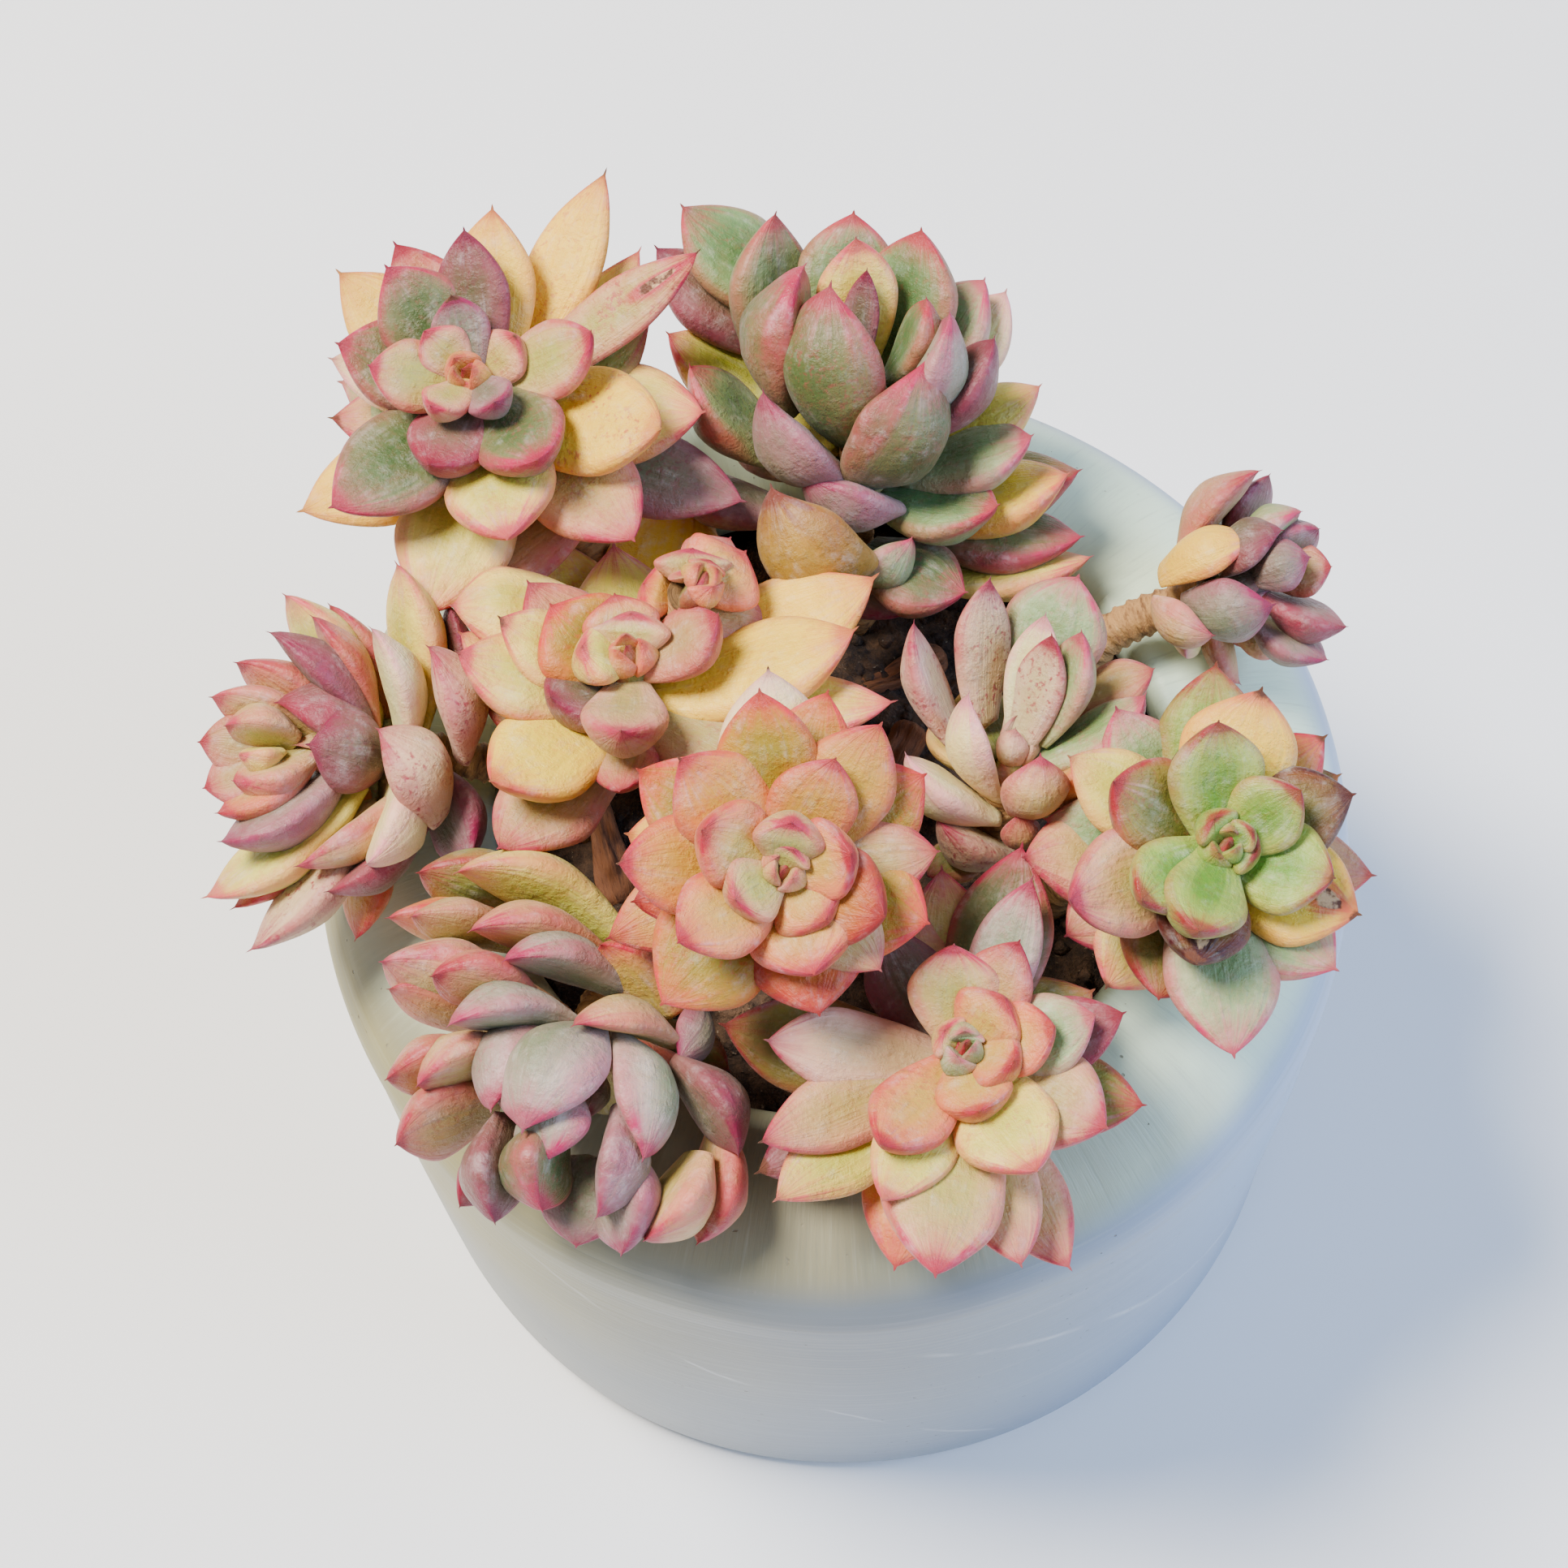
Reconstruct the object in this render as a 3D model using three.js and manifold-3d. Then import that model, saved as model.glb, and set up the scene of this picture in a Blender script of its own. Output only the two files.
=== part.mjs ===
// A round stone pot with eleven variegated succulent rosettes.
// Millimetres, +Z up. The origin is the centre of the pot's underside, and -Y is the front.
import * as THREE from "three";
import { mergeVertices } from "three/addons/utils/BufferGeometryUtils.js";
import Module from "manifold-3d";

const wasm = await Module();
wasm.setup();

// ---- driving dimensions ----
const POT_RADIUS = 70;
const POT_HEIGHT = 98;
const POT_FOOT_RADIUS = 67.5;
const FOOT_ROUNDING = 4;
const SHOULDER_HEIGHT = 14.5; // the rounded stretch under the rim
const OPENING_RADIUS = 45;
const LIP_ROUNDING = 2.5;
const WALL = 7;
const FLOOR = 9;
const POT_SEGMENTS = 40;

const SOIL_DEPTH_BELOW_RIM = 9;
const SOIL_MOUND = 4; // how much the soil rises in the middle
const SOIL_EDGE_DROP = 2; // how much it falls at the pot's mouth
const CLEARANCE = 0.32; // between pieces that touch

const STEM_RADIUS = 2.6;
const STEM_GAP = 1.2; // between a stem and the core of its lowest leaves
const STEM_SIDES = 6;
const STEM_STEPS = 6;
const STEM_RISE = 18; // how far a stem keeps upright above the soil before it turns
const STEM_RUN = 13; // how far it keeps to the rosette's axis below its leaves
const STEM_ROOT_DEPTH = 8; // below the soil
const GOLDEN_ANGLE = THREE.MathUtils.degToRad(137.508);

// A leaf's half width along its length, and its thickness as a share of its width.
const LEAF_SIDES = 4;
const LEAF_RINGS = 4;
const LEAF_THICKNESS = 0.42;
const LEAF_HOLLOW = 0.35; // how far the upper face sinks, as a share of the half thickness
const LEAF_WIDEST = 0.62; // share of the length where a leaf is widest
const LEAF_FOOT = 0.42; // width of the foot as a share of the greatest width
const HEART_OPEN = 14; // degrees that the youngest leaf opens

const COLOURS = {
  stone: { color: 0xb4bdb4, roughness: 0.55, metalness: 0 },
  soil: { color: 0x2c2420, roughness: 1, metalness: 0 },
  bark: { color: 0x7a4a2c, roughness: 0.9, metalness: 0 },
  stem: { color: 0x8a6a48, roughness: 0.85, metalness: 0 },
  outer: { color: 0xe6d3a8, roughness: 0.5, metalness: 0 },
  inner: { color: 0xc9a8a0, roughness: 0.5, metalness: 0 },
  heart: { color: 0xc98a8c, roughness: 0.5, metalness: 0 },
};

// heart: where the youngest leaves stand. lean and bearing: how far the rosette's axis leans from
// upright and the compass direction it leans in, in degrees from +X towards +Y. radius: reach of the
// outer leaves. depth: length of stem that carries leaves. root: where its stem leaves the soil.
// open: how far the lowest leaves open away from the axis, in degrees.
const ROSETTES = [
  { name: "centre", heart: [-7, -30, 141], lean: 25, bearing: -90, radius: 22.5, depth: 10,
    leaves: 17, turn: 20, open: 86, root: [-5, -16] },
  { name: "rear_left", heart: [-42, 42.5, 141], lean: 16, bearing: -126, radius: 31, depth: 14,
    leaves: 19, turn: 75, open: 88, root: [-22, 22] },
  { name: "rear_centre", heart: [8, 46, 137], lean: 25, bearing: 81, radius: 32, depth: 23,
    leaves: 20, turn: 10, open: 80, root: [6, 29] },
  { name: "right", heart: [47, -26, 129], lean: 20, bearing: -67, radius: 26, depth: 12,
    leaves: 18, turn: 200, open: 88, root: [27, -15] },
  { name: "front_right", heart: [13, -47, 124], lean: 8, bearing: -80, radius: 29, depth: 12,
    leaves: 19, turn: 130, open: 86, root: [13, -29] },
  { name: "front_left", heart: [-37, -53, 112], lean: 72, bearing: -103, radius: 28, depth: 21,
    leaves: 18, turn: 40, open: 76, root: [-20, -22] },
  { name: "far_left", heart: [-73, 1, 122], lean: 58, bearing: -169, radius: 28, depth: 21,
    leaves: 18, turn: 300, open: 78, root: [-33, 1] },
  { name: "mid_offset", heart: [-13.5, 14, 134], lean: 26, bearing: 8, radius: 14, depth: 6,
    leaves: 9, turn: 250, open: 60, root: [-8, 10] },
  { name: "mid_left", heart: [-24, 6, 132], lean: 8, bearing: 70, radius: 30, depth: 13,
    leaves: 17, turn: 160, open: 84, root: [-21, 3] },
  { name: "mid_right", heart: [25, -1.5, 124], lean: 34, bearing: 67, radius: 23, depth: 14,
    leaves: 14, turn: 95, open: 76, root: [20, -2] },
  { name: "far_right", heart: [63, 17.5, 116], lean: 62, bearing: -2, radius: 19, depth: 14,
    leaves: 15, turn: 50, open: 76, root: [33, 14] },
];

// ---- solids ----

/** A closed BufferGeometry as a manifold solid. */
function solidOf(geometry) {
  const bare = geometry.clone();
  bare.deleteAttribute("normal");
  bare.deleteAttribute("uv");
  const merged = mergeVertices(bare, 1e-4);
  return new wasm.Manifold(new wasm.Mesh({
    numProp: 3,
    vertProperties: new Float32Array(merged.attributes.position.array),
    triVerts: new Uint32Array(merged.index.array),
  }));
}

/** A manifold solid as a BufferGeometry with shading normals. */
function geometryOf(solid) {
  const mesh = solid.getMesh();
  const geometry = new THREE.BufferGeometry();
  geometry.setAttribute("position", new THREE.BufferAttribute(mesh.vertProperties, 3));
  geometry.setIndex(new THREE.BufferAttribute(mesh.triVerts, 1));
  geometry.computeVertexNormals();
  return geometry;
}

/** The largest of the pieces that a cut leaves. */
function largestPiece(solid) {
  return solid.decompose().reduce((best, piece) => (piece.volume() > best.volume() ? piece : best));
}

/** The solids joined into one. */
function joined(solids) {
  return solids.reduce((whole, solid) => whole.add(solid));
}

// ---- pot, soil and bark ----

/** Points of an arc in the profile plane, angles in degrees. */
function arc(centreX, centreY, radiusX, radiusY, from, to, steps) {
  return Array.from({ length: steps + 1 }, (_, i) => {
    const angle = THREE.MathUtils.degToRad(THREE.MathUtils.lerp(from, to, i / steps));
    return new THREE.Vector2(centreX + radiusX * Math.cos(angle), centreY + radiusY * Math.sin(angle));
  });
}

/** A solid turned about Z from a profile of (radius, height) points. */
function turned(profile, segments) {
  const geometry = new THREE.LatheGeometry(profile, segments);
  geometry.rotateX(Math.PI / 2);
  return solidOf(geometry);
}

/** The pot's outline from its underside to the lip, grown outwards by a margin. */
function potOutside(margin) {
  const shoulderFoot = POT_HEIGHT - SHOULDER_HEIGHT;
  const shoulderRun = POT_RADIUS - OPENING_RADIUS - LIP_ROUNDING;
  return [
    ...arc(POT_FOOT_RADIUS - FOOT_ROUNDING, FOOT_ROUNDING, FOOT_ROUNDING + margin,
      FOOT_ROUNDING + margin, -90, 0, 3),
    ...arc(OPENING_RADIUS + LIP_ROUNDING, shoulderFoot, shoulderRun + margin,
      SHOULDER_HEIGHT + margin, 0, 90, 7),
  ];
}

/** The turned stone pot, with a straight wall, a rounded shoulder and a narrower round opening. */
function potSolid(margin) {
  const lip = arc(OPENING_RADIUS + LIP_ROUNDING, POT_HEIGHT - LIP_ROUNDING, LIP_ROUNDING + margin,
    LIP_ROUNDING + margin, 120, 180, 3);
  const thickness = WALL + margin;
  const inside = [
    new THREE.Vector2(OPENING_RADIUS - margin, POT_HEIGHT - thickness),
    new THREE.Vector2(POT_RADIUS - thickness, POT_HEIGHT - SHOULDER_HEIGHT - thickness),
    new THREE.Vector2(POT_FOOT_RADIUS - thickness, FLOOR + FOOT_ROUNDING + margin),
    new THREE.Vector2(POT_FOOT_RADIUS - thickness - FOOT_ROUNDING, FLOOR + margin),
    new THREE.Vector2(0, FLOOR + margin),
  ];
  return turned([new THREE.Vector2(0, -margin), ...potOutside(margin), ...lip, ...inside],
    POT_SEGMENTS);
}

/** The soil, low at the pot's wall and mounded in the middle. */
function soilSolid(margin) {
  const level = POT_HEIGHT - SOIL_DEPTH_BELOW_RIM + margin;
  const gap = CLEARANCE - margin;
  const mouth = OPENING_RADIUS - gap;
  const wallRadius = POT_RADIUS - WALL - gap;
  const footRadius = POT_FOOT_RADIUS - WALL - gap;
  const bottom = FLOOR + gap;
  return turned([
    new THREE.Vector2(0, bottom),
    new THREE.Vector2(footRadius - FOOT_ROUNDING, bottom),
    new THREE.Vector2(footRadius, bottom + FOOT_ROUNDING),
    new THREE.Vector2(wallRadius, POT_HEIGHT - SHOULDER_HEIGHT - WALL - gap),
    new THREE.Vector2(mouth, level - SOIL_EDGE_DROP),
    new THREE.Vector2(mouth * 0.6, level + SOIL_MOUND * 0.7),
    new THREE.Vector2(0, level + SOIL_MOUND),
  ], POT_SEGMENTS);
}

/** A flat chip of bark with rough edges: a six-sided slab, wider at one end. */
function chipGeometry(length, width, thickness) {
  const outline = new THREE.Shape([
    new THREE.Vector2(-length / 2, -width * 0.3),
    new THREE.Vector2(-length * 0.1, -width / 2),
    new THREE.Vector2(length / 2, -width * 0.25),
    new THREE.Vector2(length * 0.42, width * 0.3),
    new THREE.Vector2(0, width / 2),
    new THREE.Vector2(-length * 0.45, width * 0.2),
  ]);
  const geometry = new THREE.ExtrudeGeometry(outline, { depth: thickness, bevelEnabled: false });
  geometry.translate(0, 0, -thickness / 2);
  return geometry;
}

// x, y: place on the soil. turn: direction of the long side. tilt: how far one end is raised.
const CHIPS = [
  { x: -30, y: -4, lift: 4, turn: 100, tilt: 24, length: 15, width: 6, thickness: 2.2 },
  { x: 8, y: 4, lift: 3.5, turn: 55, tilt: 14, length: 16, width: 7, thickness: 2.4 },
  { x: 11, y: 19, lift: 3, turn: 15, tilt: 10, length: 14, width: 5, thickness: 2.2 },
  { x: -1, y: -36, lift: 3, turn: -30, tilt: 12, length: 12, width: 5, thickness: 2 },
];

/** A bark chip lying on the soil. */
function chipSolid(chip, margin) {
  const geometry = chipGeometry(chip.length + 2 * margin, chip.width + 2 * margin,
    chip.thickness + 2 * margin);
  geometry.rotateY(THREE.MathUtils.degToRad(chip.tilt));
  geometry.rotateZ(THREE.MathUtils.degToRad(chip.turn));
  geometry.translate(chip.x, chip.y, POT_HEIGHT - SOIL_DEPTH_BELOW_RIM + chip.lift);
  return solidOf(geometry);
}

// ---- rosettes ----

/** The rosette's own frame: axis along its local Z. */
function rosetteMatrix(rosette) {
  const lean = THREE.MathUtils.degToRad(rosette.lean);
  const bearing = THREE.MathUtils.degToRad(rosette.bearing);
  const turn = new THREE.Matrix4().makeRotationZ(bearing)
    .multiply(new THREE.Matrix4().makeRotationY(lean))
    .multiply(new THREE.Matrix4().makeRotationZ(-bearing));
  return new THREE.Matrix4().makeTranslation(...rosette.heart).multiply(turn);
}

/** A leaf's half width at a share of its length: narrow foot, broad middle, pointed tip. */
function leafHalfWidth(share, width) {
  const rise = Math.min(share / LEAF_WIDEST, 1);
  const fall = Math.max((share - LEAF_WIDEST) / (1 - LEAF_WIDEST), 0);
  return (width / 2) * THREE.MathUtils.lerp(LEAF_FOOT, 1, Math.sin(rise * Math.PI / 2)) * (1 - fall ** 2);
}

/** A thick boat-shaped leaf along +X with its upper face towards +Z, foot at the origin. */
function leafGeometry(leaf, margin) {
  const geometry = new THREE.SphereGeometry(1, LEAF_SIDES, LEAF_RINGS);
  const position = geometry.attributes.position;
  for (let i = 0; i < position.count; i += 1) {
    const share = (1 - position.getY(i)) / 2;
    const round = Math.hypot(position.getX(i), position.getZ(i));
    const angle = Math.atan2(position.getZ(i), position.getX(i));
    const along = share ** 0.85;
    const half = round > 1e-6 ? leafHalfWidth(along, leaf.width) + margin : 0;
    const thick = half * LEAF_THICKNESS * 2 + margin;
    const up = Math.sin(angle);
    const flat = up > 0 ? 1 - LEAF_HOLLOW : 1;
    const reach = along * leaf.length + (along * 2 - 1) * margin;
    position.setXYZ(i, reach, half * Math.cos(angle), round > 1e-6 ? thick * up * flat : 0);
  }
  return geometry;
}

/** The leaves of a rosette from the heart outwards, each opening further than the one before. */
function leavesOf(rosette) {
  return Array.from({ length: rosette.leaves }, (_, i) => {
    const age = (i + 0.5) / rosette.leaves;
    return {
      age,
      around: THREE.MathUtils.degToRad(rosette.turn) + i * GOLDEN_ANGLE,
      open: THREE.MathUtils.degToRad(THREE.MathUtils.lerp(HEART_OPEN, rosette.open, age ** 0.75)),
      length: rosette.radius * THREE.MathUtils.lerp(0.42, 0.98, age ** 0.7),
      width: rosette.radius * THREE.MathUtils.lerp(0.24, 0.5, age ** 0.6),
      drop: rosette.depth * (0.25 + 0.75 * age),
    };
  });
}

/** One leaf as a solid, set on its rosette's axis. */
function leafSolid(leaf, matrix, margin) {
  const geometry = leafGeometry(leaf, margin);
  geometry.rotateY(leaf.open - Math.PI / 2);
  geometry.rotateZ(leaf.around);
  geometry.translate(0, 0, -leaf.drop);
  geometry.applyMatrix4(matrix);
  return solidOf(geometry);
}

/** The short core that the leaves of one tier grow from, between two depths on the axis. */
function coreSolid(from, to, radius, matrix, margin) {
  const height = to - from + 2 * margin;
  const geometry = new THREE.CylinderGeometry(radius + margin, radius + margin, height, STEM_SIDES);
  geometry.rotateX(Math.PI / 2);
  geometry.translate(0, 0, -(from + to) / 2);
  geometry.applyMatrix4(matrix);
  return solidOf(geometry);
}

const TIERS = [
  { name: "heart", look: "heart", from: 0, to: 0.22 },
  { name: "inner_leaves", look: "inner", from: 0.22, to: 0.55 },
  { name: "outer_leaves", look: "outer", from: 0.55, to: 1 },
];

/** One tier of leaves joined on its core. */
function tierSolid(rosette, tier, margin) {
  const matrix = rosetteMatrix(rosette);
  const leaves = leavesOf(rosette).filter((leaf) => leaf.age >= tier.from && leaf.age < tier.to);
  const drops = leaves.map((leaf) => leaf.drop);
  const core = coreSolid(Math.min(...drops) - 0.5, Math.max(...drops) + 0.5, STEM_RADIUS * 0.9,
    matrix, margin);
  return joined([core, ...leaves.map((leaf) => leafSolid(leaf, matrix, margin))]);
}

/** A stem from the soil up to the underside of its rosette, along a smooth curve. */
function stemSolid(rosette, margin) {
  const matrix = rosetteMatrix(rosette);
  const top = new THREE.Vector3(0, 0, margin - rosette.depth - STEM_GAP).applyMatrix4(matrix);
  const below = new THREE.Vector3(0, 0, -rosette.depth - STEM_RUN).applyMatrix4(matrix);
  const foot = POT_HEIGHT - SOIL_DEPTH_BELOW_RIM - STEM_ROOT_DEPTH - margin;
  const [rootX, rootY] = rosette.root;
  const path = new THREE.CubicBezierCurve3(
    new THREE.Vector3(rootX, rootY, foot),
    new THREE.Vector3(rootX, rootY, foot + STEM_ROOT_DEPTH + STEM_RISE),
    below,
    top,
  );
  const section = new THREE.Shape(Array.from({ length: STEM_SIDES }, (_, i) => {
    const angle = (i / STEM_SIDES) * 2 * Math.PI;
    return new THREE.Vector2(Math.cos(angle), Math.sin(angle)).multiplyScalar(STEM_RADIUS + margin);
  }));
  return solidOf(new THREE.ExtrudeGeometry(section, { steps: STEM_STEPS, extrudePath: path }));
}

// ---- assembly ----

const plant = new THREE.Group();
const keepOuts = [];

/** True where two bounding boxes meet. */
function boxesMeet(a, b) {
  return [0, 1, 2].every((k) => a.min[k] <= b.max[k] && b.min[k] <= a.max[k]);
}

/** Cuts a solid clear of what is already placed and adds it to the group as a named mesh. */
function place(name, solid, keepOut, look) {
  const box = solid.boundingBox();
  const near = keepOuts.filter((other) => boxesMeet(box, other.boundingBox()));
  const clear = largestPiece(near.reduce((left, other) => left.subtract(other), solid));
  const mesh = new THREE.Mesh(geometryOf(clear), new THREE.MeshStandardMaterial(COLOURS[look]));
  mesh.name = name;
  plant.add(mesh);
  keepOuts.push(keepOut);
}

place("pot", potSolid(0), potSolid(CLEARANCE), "stone");
ROSETTES.forEach((rosette) => {
  place(`stem_${rosette.name}`, stemSolid(rosette, 0), stemSolid(rosette, CLEARANCE), "stem");
});
place("soil", soilSolid(0), soilSolid(CLEARANCE), "soil");
CHIPS.forEach((chip, i) => {
  place(`bark_chip_${i + 1}`, chipSolid(chip, 0), chipSolid(chip, CLEARANCE), "bark");
});
TIERS.forEach((tier) => {
  ROSETTES.forEach((rosette) => {
    place(`${rosette.name}_${tier.name}`, tierSolid(rosette, tier, 0),
      tierSolid(rosette, tier, CLEARANCE), tier.look);
  });
});

export default plant;
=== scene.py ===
import logging
import math
from dataclasses import dataclass, field
from enum import Enum
from typing import Optional, Union

import bpy
import numpy as np
from mathutils import Matrix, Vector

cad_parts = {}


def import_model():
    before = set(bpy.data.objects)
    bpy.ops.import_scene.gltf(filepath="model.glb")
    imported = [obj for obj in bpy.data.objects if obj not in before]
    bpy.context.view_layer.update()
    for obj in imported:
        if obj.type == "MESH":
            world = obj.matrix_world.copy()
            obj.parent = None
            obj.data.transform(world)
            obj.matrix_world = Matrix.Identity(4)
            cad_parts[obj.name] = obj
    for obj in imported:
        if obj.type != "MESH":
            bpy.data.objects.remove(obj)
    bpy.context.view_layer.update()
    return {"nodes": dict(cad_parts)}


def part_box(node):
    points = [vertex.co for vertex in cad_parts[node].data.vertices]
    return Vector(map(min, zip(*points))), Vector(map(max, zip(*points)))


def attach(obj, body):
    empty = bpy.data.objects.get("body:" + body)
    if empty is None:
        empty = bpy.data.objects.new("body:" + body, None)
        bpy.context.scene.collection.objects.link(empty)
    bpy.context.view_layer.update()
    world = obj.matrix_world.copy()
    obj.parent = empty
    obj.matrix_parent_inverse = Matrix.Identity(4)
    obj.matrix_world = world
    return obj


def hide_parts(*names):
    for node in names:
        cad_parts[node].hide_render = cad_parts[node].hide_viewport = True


LOG = logging.getLogger("succulent")

Array = np.ndarray
Pair = tuple[float, float]
Triple = tuple[float, float, float]
RGB = tuple[float, float, float]

MM = 0.001
FULL_TURN = 2.0 * math.pi
GOLDEN_ANGLE = 137.508
UP = np.array([0.0, 0.0, 1.0])
SOIL_LEVEL_MM = 89.0

# The camera looks down from the front by VIEW_TILT and leans sideways by VIEW_ROLL.
VIEW_TILT = math.radians(65.0)
VIEW_ROLL = math.radians(4.85)
CAMERA_TARGET_MM = (-6.0, 0.0, 100.8)
CAMERA_DISTANCE_MM = 439.0
CAMERA_LENS_MM = 76.5
SENSOR_MM = 36.0


# ---- small mathematics ----


def view_directions(tilt: float, roll: float) -> Array:
    """The viewer's right, up and backward directions, as the rows of a turn.

    The backward direction rises from the front by the tilt. Right and up start level and steep,
    across it, and turn about it by the roll.

    Args:
        tilt: how steeply the viewer looks down, in radians.
        roll: how far the viewer leans to one side, in radians.

    Returns:
        Three unit rows.
    """
    across = np.array([1.0, 0.0, 0.0])
    steep = np.array([0.0, math.sin(tilt), math.cos(tilt)])
    right = math.cos(roll) * across - math.sin(roll) * steep
    up = math.sin(roll) * across + math.cos(roll) * steep
    return np.stack([right, up, [0.0, -math.cos(tilt), math.sin(tilt)]])


# Leaf rows are given along these three directions.
VIEW = view_directions(VIEW_TILT, VIEW_ROLL)
VIEW_RIGHT, VIEW_UP, VIEW_BACK = VIEW


def unit(vectors: Array) -> Array:
    """Vectors scaled to length one along the last axis."""
    return vectors / np.maximum(np.linalg.norm(vectors, axis=-1, keepdims=True), 1e-12)


def round_angles(count: int) -> Array:
    """Angles in radians at even steps round a full turn, as one row."""
    return np.linspace(0.0, FULL_TURN, count, endpoint=False)[None, :]


def turned(radius: Array, height: Array, angle: Array) -> Array:
    """Points of a profile turned round the upright axis, from its radii, heights and angles."""
    spread = np.broadcast_arrays(radius * np.cos(angle), radius * np.sin(angle), height)
    return np.stack(spread, -1)


def across_axis(axis: Array, hint: Triple) -> tuple[Array, Array]:
    """Two unit directions that are square to an axis and to each other, the first square to a hint."""
    first = unit(np.cross(axis, hint))
    return first, np.cross(axis, first)


def placed(turn: Array, place: Array) -> Matrix:
    """The placing matrix of a turn, whose columns are an object's own axes, and a place."""
    return Matrix([[*row, p] for row, p in zip(turn, place)] + [[0.0, 0.0, 0.0, 1.0]])


def link(name: str, data: bpy.types.ID) -> bpy.types.Object:
    """Puts a new object with the given data into the scene."""
    made = bpy.data.objects.new(name, data)
    bpy.context.scene.collection.objects.link(made)
    return made


def smooth(low: float, high: float, x: Array) -> Array:
    """Smooth step of x from 0 at low to 1 at high."""
    k = np.clip((x - low) / (high - low), 0.0, 1.0)
    return k * k * (3.0 - 2.0 * k)


def srgb(colour: RGB, depth: float = 1.0) -> tuple[float, float, float, float]:
    """Linear colour from screen values.

    Args:
        colour: red, green and blue as 0..255 screen values.
        depth: exponent of the linear values; over 1 makes them richer.

    Returns:
        Linear red, green, blue and an alpha of 1.
    """
    c = np.asarray(colour, float) / 255.0
    linear = np.where(c <= 0.04045, c / 12.92, ((c + 0.055) / 1.055) ** 2.4) ** depth
    return (float(linear[0]), float(linear[1]), float(linear[2]), 1.0)


def ripple(points: Array, scale: float, seed: int, waves: int = 10) -> Array:
    """Smooth seeded unevenness in space.

    The sum of plane sine waves with random directions, lengths and phases, divided by the square
    root of half their number and drawn in to seven tenths.

    Args:
        points: places, (..., 3), in metres.
        scale: usual wavelength in metres.
        seed: seed of the waves.
        waves: how many waves are summed.

    Returns:
        One value for each point, mostly within -1..1.
    """
    rng = np.random.default_rng(seed)
    directions = unit(rng.normal(size=(waves, 3)))
    lengths = scale * rng.uniform(0.6, 1.7, waves)
    phases = rng.uniform(0.0, FULL_TURN, waves)
    angles = points @ (directions / lengths[:, None]).T * FULL_TURN + phases
    return np.sin(angles).sum(axis=-1) / math.sqrt(waves / 2.0) * 0.7


# ---- surfaces ----


class Surface:
    """A growing set of closed grid surfaces with per-point attributes, made into one mesh at the end."""

    def __init__(self) -> None:
        """Starts empty."""
        self.points: list[Array] = []
        self.quads: list[Array] = []
        self.triangles: list[Array] = []
        self.attributes: dict[str, list[Array]] = {}
        self.count = 0

    def _keep(self, points: Array, attributes: dict[str, Array]) -> int:
        """Stores points and their attributes.

        Args:
            points: (count, 3) places in metres.
            attributes: for each name the values for all points.

        Returns:
            The index of the first point.
        """
        first = self.count
        self.points.append(points)
        for name, values in attributes.items():
            self.attributes.setdefault(name, []).append(values)
        self.count += len(points)
        return first

    def tube(self, rings: Array, start: Array, end: Array, attributes: dict[str, Array]) -> None:
        """Adds a surface round a path, closed at both ends by a point.

        The grid's rows are rings round the path and its columns run along it; the two poles join the
        first and last ring in fans, all facing outward when the rings turn from the side to the
        face of a right-handed frame (side, along, face).

        Args:
            rings: (rows, columns, 3) points in metres.
            start: the pole before the first ring.
            end: the pole after the last ring.
            attributes: for each name the values for all points, in the order rings, start, end.
        """
        rows, columns = rings.shape[:2]
        points = np.concatenate([rings.reshape(-1, 3), start[None], end[None]])
        first = self._keep(points, attributes)
        i, j = np.meshgrid(np.arange(rows - 1), np.arange(columns), indexing="ij")
        k = (j + 1) % columns
        quads = [i * columns + j, (i + 1) * columns + j, (i + 1) * columns + k, i * columns + k]
        self.quads.append(np.stack(quads, axis=-1).reshape(-1, 4) + first)
        j = np.arange(columns)
        k = (j + 1) % columns
        last = (rows - 1) * columns
        foot_pole = np.full(columns, rows * columns)
        self.triangles.append(np.stack([foot_pole, j, k], axis=-1) + first)
        self.triangles.append(np.stack([foot_pole + 1, last + k, last + j], axis=-1) + first)

    def build(self, name: str) -> bpy.types.Object:
        """Makes one smooth object at the origin from everything added so far.

        Args:
            name: name of the object and its mesh.

        Returns:
            The object, linked to the scene.
        """
        points = np.concatenate(self.points).astype(np.float32)
        quads = np.concatenate(self.quads)
        triangles = np.concatenate(self.triangles)
        mesh = bpy.data.meshes.new(name)
        mesh.vertices.add(len(points))
        mesh.vertices.foreach_set("co", points.ravel())
        corners = np.concatenate([quads.ravel(), triangles.ravel()]).astype(np.int32)
        mesh.loops.add(len(corners))
        mesh.loops.foreach_set("vertex_index", corners)
        starts = np.concatenate([
            np.arange(len(quads)) * 4,
            len(quads) * 4 + np.arange(len(triangles)) * 3,
        ]).astype(np.int32)
        mesh.polygons.add(len(starts))
        mesh.polygons.foreach_set("loop_start", starts)
        mesh.update(calc_edges=True)
        mesh.polygons.foreach_set("use_smooth", np.ones(len(starts), bool))
        for label, parts in self.attributes.items():
            self._write(mesh, label, np.concatenate(parts).astype(np.float32))
        mesh.validate()
        return link(name, mesh)

    @staticmethod
    def _write(mesh: bpy.types.Mesh, label: str, values: Array) -> None:
        """Writes one attribute: a number, a vector or a colour for each point.

        Args:
            mesh: the mesh.
            label: name of the attribute.
            values: one row for each point, of 1, 3 or 4 numbers.
        """
        width = 1 if values.ndim == 1 else values.shape[1]
        kind = {1: "FLOAT", 3: "FLOAT_VECTOR", 4: "FLOAT_COLOR"}[width]
        key = {1: "value", 3: "vector", 4: "color"}[width]
        made = mesh.attributes.new(label, kind, "POINT")
        made.data.foreach_set(key, values.ravel())


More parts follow.
